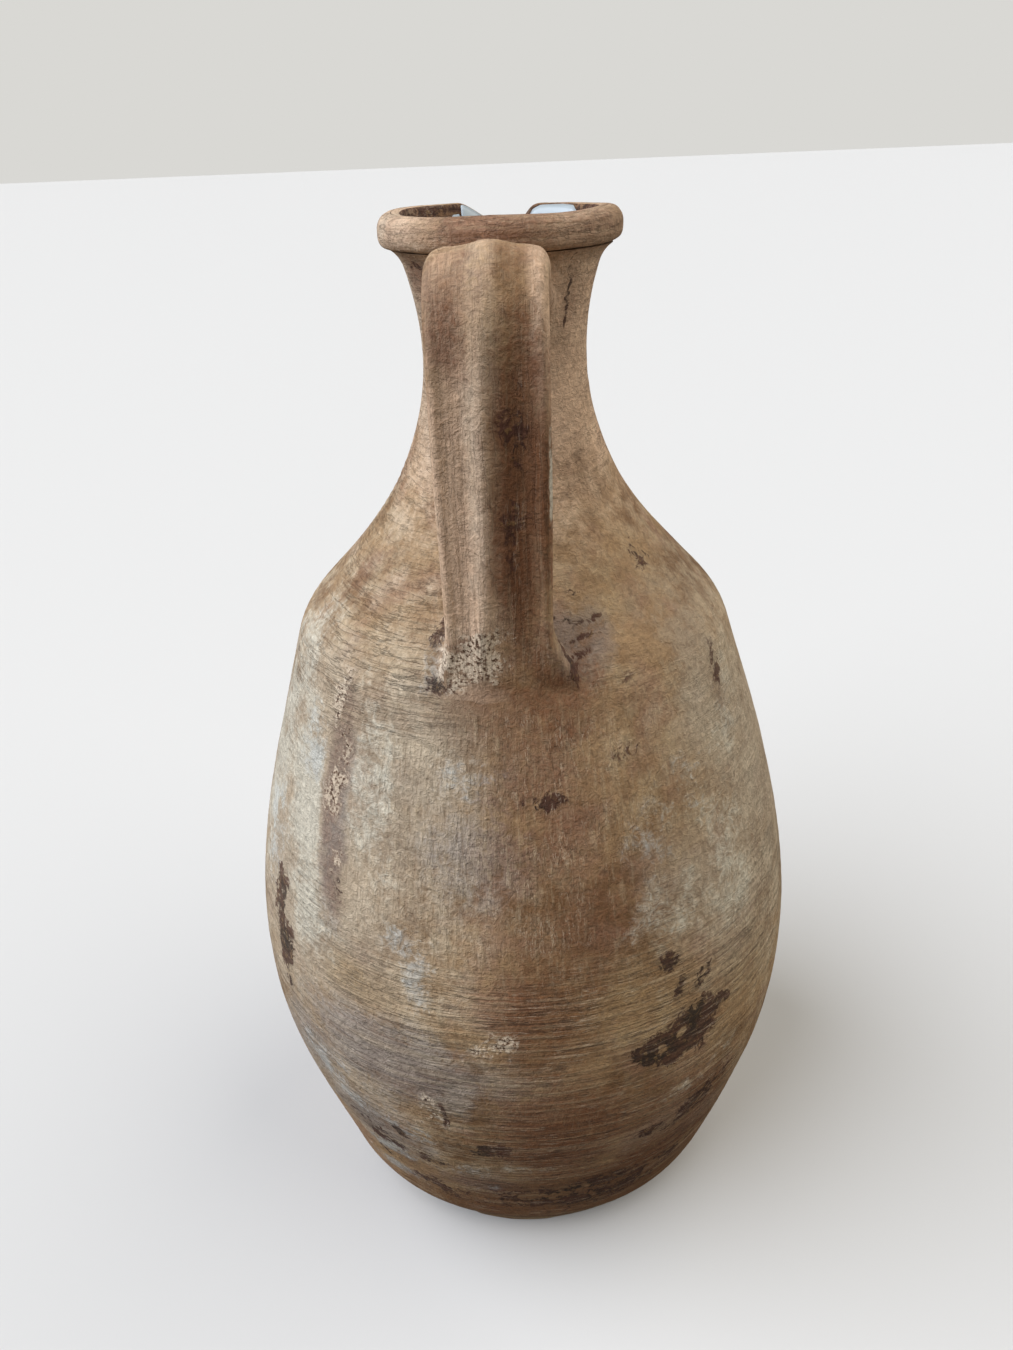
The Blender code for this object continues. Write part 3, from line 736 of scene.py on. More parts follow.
class ClaySkin:
    """What a piece's visible face is made of: where it lies, its relief and its paint."""

    LEFT = (4.0, -26.0)
    LEFT_BEHIND = (-180.0, -130.0)
    RING_SPACING = 2.9
    CRUST_RELIEF = 0.22

    def __init__(self, surface: JugSurface) -> None:
        """Prepare the noise that every piece shares, so that neighbours match.

        Args:
            surface: The jug's surface.
        """
        self.surface = surface
        self.broad = ClayNoise(3)
        self.fine = ClayNoise(8)
        self.lines = ClayNoise(21)

    def wheel_grain(self, points: Array) -> Array:
        """Unroll points for marks that run round the jug.

        Args:
            points: Points on the body.

        Returns:
            The level direction times a radius, and the length along the outline, of each point.
        """
        radius = np.hypot(points[:, 0], points[:, 1]) + 1e-6
        turned = points[:, :2] / radius[:, None] * GRAIN_RADIUS
        return np.column_stack((turned, self.surface.body.arc(points[:, 2])))

    def swell(self, points: Array) -> Array:
        """Return the broad unevenness of the thrown form at each point."""
        return 0.50 * self.broad.layered(points / 62.0, 2) + 0.16 * self.broad.at(points / 17.0 + 5.0)

    def grit(self, points: Array, crust: Array) -> Array:
        """Return the relief of crust where it covers the points."""
        return crust * self.CRUST_RELIEF * self.fine.at(points / 1.6 + 2.0)

    def left_share(self, azimuth: Array) -> Array:
        """Return how far each azimuth lies on the side left of the handle, from 0 to 1."""
        return ease(*self.LEFT, azimuth) * ease(*self.LEFT_BEHIND, azimuth)

    def wheel_share(self, points: Array, azimuth: Array) -> Array:
        """Return how much of the tool marks run round the body, rather than up it.

        Args:
            points: Points on the body.
            azimuth: Their azimuths.

        Returns:
            A share from 0 to 1 at each point.
        """
        height = points[:, 2]
        low = ease(176.0, 128.0, height)
        shoulder = 0.75 * ease(212.0, 230.0, height) * self.left_share(azimuth)
        neck = 0.7 * ease(268.0, 290.0, height)
        patchy = 0.55 * self.broad.layered(points / 34.0 + 17.0, 2)
        return np.clip(np.maximum(np.maximum(low, shoulder), neck) + patchy, 0.0, 1.0)

    def brush_share(self, points: Array, azimuth: Array) -> Array:
        """Return how much of the marks run up the body at each point."""
        front = 1.0 - 0.6 * ease(20.0, 50.0, np.abs(azimuth + 4.0))
        return (1.0 - self.wheel_share(points, azimuth)) * ease(250.0, 228.0, points[:, 2]) * front

    def body_relief(self, points: Array, azimuth: Array, crust: Array, close: Array) -> Array:
        """Return how far the body's skin stands proud of its outline.

        Args:
            points: Points on the outline.
            azimuth: Their azimuths.
            crust: Cover of crust at the points.
            close: How near each point is to the strap's join.

        Returns:
            The relief in millimetres.
        """
        grain = self.wheel_grain(points)
        height = points[:, 2]
        relief = self.swell(points) * ease(2.0, 12.0, height)
        patchy = 0.5 + 0.5 * self.broad.at(points / 24.0 + 31.0)
        # Throwing rings on the shoulder, left of the handle.
        wobble = self.broad.at(grain / (40.0, 40.0, 12.0)) * 1.1
        ring = np.sin((grain[:, 2] + wobble) * math.tau / self.RING_SPACING)
        left = 0.35 + 0.65 * self.left_share(azimuth)
        shoulder = ease(228.0, 240.0, height) * ease(300.0, 272.0, height)
        detail = 0.20 * ring * patchy * left * shoulder
        # Wiping marks round the body, strongest below its middle.
        low = ease(176.0, 150.0, height) * ease(12.0, 26.0, height)
        wipe = self.lines.at(grain / (52.0, 52.0, 2.4)) + 0.6 * self.lines.at(grain / (30.0, 30.0, 5.5) + 9.0)
        detail += 0.12 * wipe * (0.3 + 0.9 * patchy) * (0.35 + 0.65 * low)
        # Brush lines up the front of the belly, which lean over on its left.
        front = ease(150.0, 176.0, height) * ease(244.0, 228.0, height)
        lean = np.radians(22.0 * ease(-20.0, -60.0, azimuth) * ease(*self.LEFT_BEHIND, azimuth))
        twist = np.column_stack((grain[:, 0], grain[:, 1] + np.sin(lean) * grain[:, 2], grain[:, 2]))
        detail += 0.07 * self.lines.at(twist / (2.6, 2.6, 34.0) + 3.0) * front
        detail += 0.035 * self.fine.at(points / 1.9)
        detail += self.grit(points, crust)
        return relief + detail * (1.0 - close)

    def strap_relief(self, points: Array, grain: Array, crust: Array, close: Array) -> Array:
        """Return how far the strap's skin stands proud of its form.

        Args:
            points: Points on the strap.
            grain: The same points unrolled along the strap.
            crust: Cover of crust at the points.
            close: How near each point is to the body's join.

        Returns:
            The relief in millimetres.
        """
        relief = 0.22 * self.broad.layered(points / 26.0 + 3.0, 2)
        detail = 0.10 * self.lines.at(grain / (48.0, 9.0, 1.7))
        detail += 0.05 * self.lines.at(grain / (30.0, 9.0, 1.1))
        detail += 0.05 * self.fine.at(points / 2.4)
        detail += self.grit(points, crust)
        return relief + (self.swell(points) - relief) * close + detail * (1.0 - close)

    def paint(self, points: Array, across: Array | None = None, stop: Array | None = None) -> Covers:
        """Return the cover of every paint at the points.

        Args:
            points: Points of the piece.
            across: For the strap, distance to the right of its middle.
            stop: For the strap, length along it.

        Returns:
            The cover of each paint, one value for each point.
        """
        azimuth = np.degrees(np.arctan2(points[:, 0], -points[:, 1]))
        radius = np.hypot(points[:, 0], points[:, 1])
        height = points[:, 2]
        warp_across = 2.2 * self.broad.layered(points / 9.0 + 40.0, 3)
        warp_up = 2.2 * self.broad.layered(points / 9.0 + 52.0, 3)
        covers = {paint: np.zeros(len(points)) for paint in Paint}
        length = self.surface.strap.length
        # The body's patches run on over the strap's foot, and no further up it.
        share = 1.0 if across is None else ease(266.0, 256.0, height) * ease(0.4, 0.7, stop / length)
        for paint, rows in BODY_PATCHES.items():
            for patch in (Patch(*row) for row in rows):
                turn = np.radians((azimuth - patch.place + 180.0) % 360.0 - 180.0)
                covers[paint] = patch.lay(covers[paint], turn * radius + warp_across,
                                          height - patch.height + warp_up, share)
        if across is None:
            return covers
        for paint, rows in STRAP_PATCHES.items():
            for patch in (Patch(*row) for row in rows):
                covers[paint] = patch.lay(covers[paint], across - patch.place + 0.5 * warp_across,
                                          height - patch.height + warp_up)
        return covers


def fine_grid(rings: int, columns: int, seam: Seam) -> tuple[Shape, Array, Array]:
    """Spin a short chain of vertices about Z and subdivide it into a fine, even grid.

    Args:
        rings: Steps along the chain, a multiple of FINER.
        columns: Steps round the axis, a multiple of FINER.
        seam: Whether the chain is open, or a ring in itself.

    Returns:
        The mesh, and the ring and the column of each of its vertices.
    """
    shape = bmesh.new()
    count = rings // FINER
    far = 3.0
    if seam is Seam.RING:
        tilted = Matrix.Translation((far, 0.0, 0.0)) @ Matrix.Rotation(math.pi / 2, 4, "X")
        made = bmesh.ops.create_circle(shape, cap_ends=False, segments=count, radius=1.0, matrix=tilted)
        chain = made["verts"] + shape.edges[:]
    else:
        chain = [shape.verts.new((1.0, 0.0, float(step))) for step in range(count + 1)]
        chain += [shape.edges.new(pair) for pair in zip(chain, chain[1:])]
    bmesh.ops.spin(shape, geom=chain, cent=(0.0, 0.0, 0.0), axis=(0.0, 0.0, 1.0), dvec=(0.0, 0.0, 0.0),
                   angle=math.tau, steps=columns // FINER, use_merge=True)
    bmesh.ops.subdivide_edges(shape, edges=shape.edges, cuts=FINER - 1, use_grid_fill=True)
    places = np.array([vertex.co for vertex in shape.verts])
    azimuth = np.arctan2(places[:, 1], places[:, 0])
    column = np.rint(azimuth / math.tau * columns).astype(int) % columns
    if seam is Seam.RING:
        angle = np.arctan2(places[:, 2], np.hypot(places[:, 0], places[:, 1]) - far)
        ring = np.rint(angle / math.tau * rings).astype(int) % rings
    else:
        ring = np.rint(places[:, 2] * FINER).astype(int)
    return shape, ring, column


def put(vertices: Iterable[bmesh.types.BMVert], points: Array) -> None:
    """Move vertices to points in millimetres."""
    for vertex, place in zip(vertices, points * METRES):
        vertex.co = place


def border(shape: Shape) -> Edges:
    """Return the edges of a mesh that have a face on one side only."""
    return [edge for edge in shape.edges if edge.is_boundary]


def open_loop(shape: Shape, top: bool) -> Edges:
    """Find the edges of a mesh's highest or lowest open loop.

    Args:
        shape: Mesh with open ends.
        top: Whether the loop is the highest.

    Returns:
        The loop's edges.
    """
    edges = border(shape)
    heights = [0.5 * (edge.verts[0].co.z + edge.verts[1].co.z) for edge in edges]
    middle = 0.5 * (min(heights) + max(heights))
    return [edge for edge, height in zip(edges, heights) if (height > middle) == top]


def step_in(shape: Shape, loop: Edges, radius: float, height: float) -> Edges:
    """Extrude an open loop about Z to a new radius and height.

    Args:
        shape: Mesh that the loop is part of.
        loop: Edges of the loop.
        radius: New radius in millimetres.
        height: New height in millimetres.

    Returns:
        The edges of the new loop.
    """
    made = bmesh.ops.extrude_edge_only(shape, edges=loop)["geom"]
    for vertex in (item for item in made if isinstance(item, bmesh.types.BMVert)):
        turned = Vector((vertex.co.x, vertex.co.y, 0.0)).normalized() * (radius * METRES)
        vertex.co = (turned.x, turned.y, height * METRES)
    return [item for item in made if isinstance(item, bmesh.types.BMEdge) and item.is_boundary]


def close_flat(shape: Shape, top: bool, radii: tuple[float, ...], height: float) -> None:
    """Close an open end with a level face, in rings.

    Args:
        shape: Mesh with the open end.
        top: Whether it is the highest end.
        radii: Radii of the rings, from outside in.
        height: Height of the face.
    """
    loop = open_loop(shape, top)
    for radius in radii:
        loop = step_in(shape, loop, radius, height)
    bmesh.ops.holes_fill(shape, edges=loop, sides=len(loop))


@dataclass(frozen=True)
class Measured:
    """What shading needs of a piece: summed face normals, border vertices by place, and face corners."""

    piece: Piece
    sums: Array
    border: dict[tuple[int, int, int], int]
    corner: Array
    seen: Array


def layers_of(covers: Covers, grain: Array, wheel: Array) -> Layers:
    """Return the attributes for paints, for places along the tool's path and for how marked they are."""
    return {paint.value: cover for paint, cover in covers.items()} | {"grain": grain, "wheel": wheel}


class Workshop:
    """Turns finished meshes into pieces of the jug, and shades the clay ones as one body."""

    PLACES_PER_MM = 200.0

    def __init__(self) -> None:
        """Start with no pieces."""
        self.measured: list[Measured] = []

    def add(self, name: str, shape: Shape, material: Material, slot: str, layers: Layers | None = None,
            skin: Array | None = None) -> Piece:
        """Write a mesh as a piece that rides with the jug.

        Args:
            name: Name of the piece, and of the solid that it stands for.
            shape: Closed mesh in metres, whose first vertices are the skin's.
            material: Finish of the piece.
            slot: The record's material slot, which is not used.
            layers: Attributes, one value or three for each vertex of the skin.
            skin: For each vertex of the skin, whether it shows. None for a piece that is shaded by itself.

        Returns:
            The new object.
        """
        bmesh.ops.recalc_face_normals(shape, faces=shape.faces)
        mesh = bpy.data.meshes.new(name)
        shape.to_mesh(mesh)
        shape.free()
        piece = put_in_scene(name, mesh)
        mesh.materials.append(material)
        mesh.shade_smooth()
        count = len(mesh.vertices)
        for layer, values in (layers or {}).items():
            kind, field = ("FLOAT_VECTOR", "vector") if values.ndim == 2 else ("FLOAT", "value")
            full = np.zeros((count, *values.shape[1:]), np.float32)
            full[:len(values)] = values
            mesh.attributes.new(layer, kind, "POINT").data.foreach_set(field, full.ravel())
        if skin is not None:
            shows = np.zeros(count, bool)
            shows[:len(skin)] = skin
            self.measured.append(self.measure(piece, shows))
        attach(piece, "root")
        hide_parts(name)
        return piece

    def measure(self, piece: Piece, shows: Array) -> Measured:
        """Sum the face normals round each vertex, apart for faces that show and faces that don't.

        Args:
            piece: Piece whose mesh is measured.
            shows: For each vertex, whether it is part of the skin that shows.

        Returns:
            The sums, and the vertices where the two kinds of face meet.
        """
        mesh = piece.data
        faces, count = len(mesh.polygons), len(mesh.vertices)
        normal, area, places = np.empty(faces * 3), np.empty(faces), np.empty(count * 3)
        total, corner = np.empty(faces, int), np.empty(len(mesh.loops), int)
        mesh.polygons.foreach_get("normal", normal)
        mesh.polygons.foreach_get("area", area)
        mesh.polygons.foreach_get("loop_total", total)
        mesh.loops.foreach_get("vertex_index", corner)
        mesh.vertices.foreach_get("co", places)
        owner = np.repeat(np.arange(faces), total)
        seen = (np.bincount(owner, weights=~shows[corner], minlength=faces) == 0) & (total <= 4)
        push = (normal.reshape(-1, 3) * area[:, None])[owner]
        sums = np.zeros((2, count, 3))
        for kind, axis in product((0, 1), range(3)):
            part = seen[owner] == bool(kind)
            sums[kind, :, axis] = np.bincount(corner[part], weights=push[part, axis], minlength=count)
        keys = np.rint(places.reshape(-1, 3) / METRES * self.PLACES_PER_MM).astype(int)
        edge = np.flatnonzero((np.abs(sums[0]).sum(axis=1) > 0.0) & (np.abs(sums[1]).sum(axis=1) > 0.0))
        return Measured(piece, sums, {tuple(keys[n]): int(n) for n in edge}, corner, seen[owner])

    def shade(self) -> None:
        """Give the clay pieces normals that run on from one to the next where their skins meet."""
        shared: dict[tuple[int, int, int], Array] = {}
        for one in self.measured:
            for key, vertex in one.border.items():
                shared[key] = shared.get(key, 0.0) + one.sums[1, vertex]
        for one in self.measured:
            for key, vertex in one.border.items():
                one.sums[1, vertex] = shared[key]
            normals = np.where(one.seen[:, None], one.sums[1][one.corner], one.sums[0][one.corner])
            normals /= np.linalg.norm(normals, axis=1)[:, None] + 1e-20
            one.piece.data.normals_split_custom_set(normals.astype(np.float32))


def pull_lip(points: Array) -> Array:
    """Draw the mouth outwards and down opposite the handle, steeper on the left flank than on the right.

    Args:
        points: Points of a piece near the mouth.

    Returns:
        The moved points.
    """
    reach, drop, depth = 5.0, 6.5, 22.0
    left_flank, right_flank = 28.5, 13.0
    turn = np.degrees(np.arctan2(points[:, 0], points[:, 1]))
    right = np.exp(-np.clip(turn / right_flank, 0.0, 6.0) ** 3)
    left = 0.4 * np.clip((turn + left_flank) / left_flank, 0.0, 1.0) + 0.6 * ease(-left_flank, 0.0, turn)
    left = left * 1.14 - 0.14 * ease(-115.0, -75.0, turn)
    pull = np.where(turn > 0.0, right, left) + 0.075 * ease(95.0, 150.0, np.abs(turn))
    pull *= ease(BodyForm.CREST - depth, BodyForm.CREST, points[:, 2])
    radius = np.hypot(points[:, 0], points[:, 1]) + 1e-6
    moved = points.copy()
    moved[:, :2] *= (1.0 + reach * pull / radius)[:, None]
    moved[:, 2] -= drop * pull
    return moved


@dataclass(frozen=True)
class ThrownWall:
    """A section of the thrown body between two heights."""

    name: str
    low: float
    high: float
    rings: int
    inner_steps: int
    slot: str
    foot: bool = False
    undercut: float = 2.8
    undercut_height: float = 4.0
    collar_seat: tuple[float, float] = (343.0, 346.0)

    def build(self, skin: ClaySkin, shop: Workshop, material: Material) -> Piece:
        """Make the section.

        Args:
            skin: Relief and paint of the clay.
            shop: Workshop that writes the piece.
            material: Finish of the piece.

        Returns:
            The new object.
        """
        body = skin.surface.body
        shape, ring, column = fine_grid(self.rings, SEGMENTS, Seam.OPEN)
        ends = body.arc(np.array((self.low, self.high)))
        heights = body.height_at_arc(np.interp(ring, (0, self.rings), ends))
        angle = column * math.tau / SEGMENTS
        away = around(angle)
        slope = body.slope(heights)
        lean = np.hypot(1.0, slope)
        points = np.column_stack((away * body.radius(heights)[:, None], heights))
        normals = np.column_stack((away / lean[:, None], -slope / lean))
        points, normals, hidden, close = skin.surface.settle(points, normals, on_body=True)
        covers = skin.paint(points)
        azimuth = (np.degrees(angle) + 180.0) % 360.0 - 180.0
        relief = skin.body_relief(points, azimuth, covers[Paint.CRUST], close) * (1.0 - hidden)
        points = pull_lip(points + normals * relief[:, None])
        if self.foot:
            rise = points[:, 2]
            cut = self.undercut * (1.0 - ease(0.0, self.undercut_height, rise)) ** 2
            points[:, :2] -= away * cut[:, None]
            points[:, 2] = np.where(ring == 0, 0.0, np.maximum(rise, 0.02))
        put(shape.verts, points)
        self.close(shape, body)
        shape.verts.ensure_lookup_table()
        added = shape.verts[len(points):]
        put(added, pull_lip(np.array([vertex.co for vertex in added]) / METRES))
        wheel = skin.wheel_share(points, azimuth) * (1.0 - close)
        layers = layers_of(covers, skin.wheel_grain(points), wheel)
        layers["brush"] = skin.brush_share(points, azimuth) * (1.0 - close)
        return shop.add(self.name, shape, material, self.slot, layers, hidden < 0.5)

    def close(self, shape: Shape, body: BodyForm) -> None:
        """Give the section its inner face and its two edges, or the foot's slab its two flat faces.

        Args:
            shape: Mesh of the outer face.
            body: Outline of the body.
        """
        if self.foot:
            close_flat(shape, False, (60.0, 40.0, 20.0, 6.0), 0.0)
            close_flat(shape, True, (66.0, 40.0, 6.0), self.high)
            return
        loop = open_loop(shape, top=True)
        for height in np.linspace(self.high, self.low, self.inner_steps + 1):
            radius = float(body.inner(height) + 0.4 * ease(*self.collar_seat, height))
            loop = step_in(shape, loop, radius, height)
        bmesh.ops.bridge_loops(shape, edges=border(shape))


@dataclass(frozen=True)
class StrapHandle:
    """The handle and the clay pressed round its foot, cut from one swept form."""

    columns: int = 136
    start: float = 3.6
    joint_height: float = 254.0
    in_wall: float = 1.2
    flatness: float = 0.12
    side_at: float = 0.86

    def section(self, strap: StrapForm) -> tuple[Array, Array]:
        """Return an even ring of places round the strap's plain section.

        Args:
            strap: Form of the strap.

        Returns:
            The share of the half width, and the level from -1 under to 1 over, of each place.
        """
        angle = np.linspace(0.0, math.tau, 2881)
        across, level = np.cos(angle), np.sin(angle)
        roll = np.sign(across) * np.abs(across) ** 0.9 * strap.SIDE_ROLL
        share = np.clip(angle % math.pi / math.pi, 0.0, 1.0)
        side = np.where(angle % math.tau < math.pi, 1.0, -1.0)
        x = roll + (strap.HALF_WIDTH - strap.SIDE_ROLL) * np.cos(share * math.pi) * side
        y = strap.SKIN * np.sign(level) * np.abs(level) ** self.flatness
        even = evenly(np.column_stack((x, y)), self.columns)
        return even[:, 0] / strap.HALF_WIDTH, even[:, 1] / strap.SKIN

    def build(self, skin: ClaySkin, shop: Workshop, materials: dict[str, Material]) -> list[Piece]:
        """Make the strap, and below its joint the pressed foot.

        Args:
            skin: Relief and paint of the clay.
            shop: Workshop that writes the pieces.
            materials: Finish of each slot.

        Returns:
            The new objects.
        """
        strap = skin.surface.strap
        lower = strap.stops[strap.line[:, 1] > self.joint_height][-1]
        made = []
        for name, ends, rings, slot in (("strap_handle", (self.start, lower), 216, "handle_clay"),
                                        ("handle_root_pad", (lower, strap.length), 40, "pad_clay")):
            shape, shows, layers = self.slice(skin, ends, rings)
            made.append(shop.add(name, shape, materials[slot], slot, layers, shows))
        return made

    def slice(self, skin: ClaySkin, ends: tuple[float, float], rings: int) -> tuple[Shape, Array, Layers]:
        """Shape one stretch of the swept form and close its two ends, which are hidden in the wall.

        Args:
            skin: Relief and paint of the clay.
            ends: Lengths along the strap between which the stretch lies.
            rings: Steps along it.

        Returns:
            The mesh, whether each vertex shows, and the attributes.
        """
        strap = skin.surface.strap
        shape, ring, column = fine_grid(rings, self.columns, Seam.OPEN)
        share, level = (part[column] for part in self.section(strap))
        stop = np.interp(ring, (0, rings), ends)
        across = share * strap.half_width(share, stop)
        sag = strap.sag(across, stop)
        out = np.where(level > 0.0, level * strap.outer_face(across, stop), level * (strap.SKIN + sag))
        side = np.maximum(np.abs(share) - self.side_at, 0.0) / (1.0 - self.side_at)
        points = strap.place(across, out - side * sag * (1.0 - np.abs(level)), stop)
        seat = strap.nearest(points)
        for _ in range(3):
            gap = np.clip(strap.gap(points, seat), -1.0, 1.0)
            normals = outward(partial(strap.gap, seat=seat), points)
            points = points - gap[:, None] * normals
        points, normals, hidden, close = skin.surface.settle(points, normals, on_body=False)
        covers = skin.paint(points, across, stop)
        grain = np.column_stack((stop, 0.3 * points[:, 1], across))
        relief = skin.strap_relief(points, grain, covers[Paint.CRUST], close) * (1.0 - hidden)
        points = points + normals * relief[:, None]
        least = skin.surface.body.inner(points[:, 2]) + self.in_wall
        points[:, :2] *= np.maximum(1.0, least / np.hypot(points[:, 0], points[:, 1]))[:, None]
        put(shape.verts, points)
        bmesh.ops.holes_fill(shape, edges=border(shape), sides=self.columns)
        grain = np.column_stack((stop, 0.3 * points[:, 1], across))
        dragged = 0.55 * (1.0 - close) * (1.0 - 0.4 * ease(305.0, 335.0, points[:, 2]))
        return shape, hidden < 0.5, layers_of(covers, grain, dragged)


@dataclass(frozen=True)
class RimCollar:
    """Rolled collar round the mouth."""

    rim_radius: float = 36.4
    edge_radius: float = 4.2
    drip: float = 2.9
    seat: float = 350.6
    seat_radius: float = 31.0
    inner_low: float = 346.9
    inner_low_radius: float = 27.0
    rings: int = 96
    ring_step: float = 0.4
    inside_radius: float = 29.5

    @staticmethod
    def corner(centre: tuple[float, float], radius: float, turns: tuple[float, float], count: int) -> Array:
        """Return places on a rounded corner.

        Args:
            centre: Radius and height of its middle.
            radius: Its own radius.
            turns: Angles in degrees at which it starts and ends.
            count: How many places.

        Returns:
            One row of (radius, height) for each place.
        """
        angle = np.radians(np.linspace(*turns, count))
        return np.column_stack((centre[0] + radius * np.cos(angle), centre[1] + radius * np.sin(angle)))

    def section(self, body: BodyForm) -> Array:
        """Return an even ring round the collar's section.

        Args:
            body: Outline of the body.

        Returns:
            One row of (radius, height) for each place.
        """
        edge, small, mouth = self.edge_radius, self.drip, body.MOUTH_EDGE
        rise = np.linspace(self.inner_low, body.CREST - mouth, 30)
        outer = self.corner((self.rim_radius - edge, body.CREST - edge), edge, (90.0, 0.0), 40)
        return evenly(np.vstack((
            outer,
            self.corner((self.rim_radius - small, self.seat + small), small, (0.0, -90.0), 20),
            ((self.seat_radius, self.seat), (self.inner_low_radius, self.inner_low)),
            np.column_stack((body.inner(rise), rise)),
            self.corner((body.MOUTH_RADIUS + mouth, body.CREST - mouth), mouth, (180.0, 90.0), 24),
            outer[:1])), self.rings)

    def build(self, skin: ClaySkin, shop: Workshop, material: Material) -> Piece:
        """Make the collar.

        Args:
            skin: Relief and paint of the clay.
            shop: Workshop that writes the piece.
            material: Finish of the piece.

        Returns:
            The new object.
        """
        shape, ring, column = fine_grid(self.rings, SEGMENTS, Seam.RING)
        section = self.section(skin.surface.body)
        tangent = np.roll(section, -1, axis=0) - np.roll(section, 1, axis=0)
        tangent /= np.linalg.norm(tangent, axis=1)[:, None]
        away = around(column * math.tau / SEGMENTS)
        points = np.column_stack((away * section[ring, :1], section[ring, 1]))
        normals = np.column_stack((away * -tangent[ring, 1:], tangent[ring, 0]))
        grain = np.column_stack((away * GRAIN_RADIUS, ring * self.ring_step))
        relief = 0.28 * skin.broad.layered(points / 24.0 + 7.0, 2)
        relief += 0.09 * skin.lines.at(grain / (60.0, 60.0, 1.3))
        relief += 0.05 * skin.lines.at(grain / (22.0, 22.0, 0.9))
        relief += 0.05 * skin.fine.at(points / 2.1)
        inside = np.hypot(points[:, 0], points[:, 1]) < self.inside_radius
        points = pull_lip(points + normals * np.where(inside, 0.2, 1.0)[:, None] * relief[:, None])
        put(shape.verts, points)
        covers = skin.paint(points)
        # Inside, the bare clay over the glaze is brown and at least half soot-dark: painted shade inside the
        # mouth.
        # Outside, soot is on the handle's side.
        soot = covers[Paint.SOOT]
        covers[Paint.SOOT] = np.where(inside, np.maximum(0.55, soot), np.where(points[:, 1] < 0.0, soot, 0.0))
        covers[Paint.UMBER] = np.where(inside, 1.0, covers[Paint.UMBER])
        layers = layers_of(covers, grain, np.full(len(points), 0.7))
        return shop.add("rim_collar", shape, material, "collar_clay", layers, np.ones(len(points), bool))


@dataclass(frozen=True)
class GlazeLining:
    """White glaze over the floor and the inside of the wall, with a thick soft edge below the crest."""

    floor: float = 11.3
    thickness: float = 0.9
    least: float = 0.12
    off_clay: float = 0.05
    high_edge: float = 359.6
    roll: float = 2.2
    rings: int = 144
    columns: int = 320
    # How far below its highest the glaze ends, as (degrees from the lip towards +X, fall).
    edge_line: tuple[tuple[float, float], ...] = (
        (-180.0, 9.6), (-120.0, 10.6), (-75.0, 8.4), (-48.0, 5.4), (-39.0, 4.6), (-36.5, 2.9), (-31.5, 2.8),
        (-30.5, 6.0), (-30.2, 6.0), (-29.2, 0.3), (-12.0, 0.0), (8.0, 0.4), (15.0, 2.6), (18.0, 1.2),
        (24.0, 0.3), (40.0, 0.1), (50.0, 0.4), (54.0, 1.8), (58.0, 4.0), (64.0, 5.8), (80.0, 7.6),
        (110.0, 10.0), (180.0, 9.6))

    def edge(self, turn: Array) -> Array:
        """Return the height at which the glaze ends, which wanders a little where it ends low.

        Args:
            turn: Degrees from the lip towards +X.

        Returns:
            The height at each turn.
        """
        wander = 0.5 * np.sin(np.radians(turn * 9.0)) + 0.3 * np.sin(np.radians(turn * 23.0))
        fall = np.interp(turn, *zip(*self.edge_line))
        return self.high_edge - fall + wander * ease(2.0, 6.0, fall)

    def build(self, skin: ClaySkin, shop: Workshop, material: Material) -> Piece:
        """Make the lining.

        Args:
            skin: Relief and paint of the clay.
            shop: Workshop that writes the piece.
            material: Finish of the piece.

        Returns:
            The new object.
        """
        body = skin.surface.body
        shape, ring, column = fine_grid(self.rings, self.columns, Seam.OPEN)
        away = around(column * math.tau / self.columns)
        top = self.edge(np.degrees(np.arctan2(away[:, 0], away[:, 1])))
        start = self.floor + 1.0
        # The upper two fifths of the rings lie in the upper fifth of the wall, where the edge rolls.
        heights = start + (top - start) * np.interp(ring / self.rings, (0.0, 0.6, 1.0), (0.0, 0.8, 1.0))
        fade = ease(0.0, 1.6, top - heights)
        ripple = 0.12 * skin.broad.at(np.column_stack((away * 30.0, heights)) / 14.0) * fade
        coat = self.off_clay + (self.thickness - self.off_clay) * fade
        coat = np.maximum(coat + ripple, self.least) + self.roll
        bend = body.CREST - self.roll
        tilt = np.arcsin(np.clip((heights - bend) / self.roll, 0.0, 1.0))
        heights = np.minimum(heights, bend)
        radius = body.inner(heights) + self.roll - coat * np.cos(tilt)
        heights = heights + coat * np.sin(tilt)
        put(shape.verts, pull_lip(np.column_stack((away * radius[:, None], heights))))
        close_flat(shape, False, (50.0, 25.0, 4.0), self.floor + self.thickness)
        bmesh.ops.recalc_face_normals(shape, faces=shape.faces)
        first = shape.faces[0]
        if first.normal.dot(Vector((*first.calc_center_median()[:2], 0.0))) < 0.0:
            bmesh.ops.reverse_faces(shape, faces=shape.faces)
        bmesh.ops.solidify(shape, geom=shape.faces[:], thickness=-self.off_clay * METRES)
        return shop.add("glaze_lining", shape, material, "white_glaze")


def put_in_scene(name: str, data: bpy.types.ID) -> Piece:
    """Make an object of some data and put it in the scene.

    Args:
        name: Name of the object.
        data: Its mesh, camera or light.

    Returns:
        The new object, at the origin.
    """
    made = bpy.data.objects.new(name, data)
    bpy.context.scene.collection.objects.link(made)
    return made


def linear(hex_colour: str) -> tuple[float, float, float, float]:
    """Turn an sRGB hex colour into linear light, as shaders take it.

    Args:
        hex_colour: Colour as six hex digits.

    Returns:
        Red, green, blue and alpha.
    """
    parts = [int(hex_colour[n:n + 2], 16) / 255.0 for n in (0, 2, 4)]
    return (*(part / 12.92 if part <= 0.04045 else ((part + 0.055) / 1.055) ** 2.4 for part in parts), 1.0)


def empty_tree(owner: Material | bpy.types.World) -> Tree:
    """Give a material or a world an empty node tree.

    Args:
        owner: Material or world.

    Returns:
        Its tree.
    """
    owner.use_nodes = True
    owner.node_tree.nodes.clear()
    return owner.node_tree


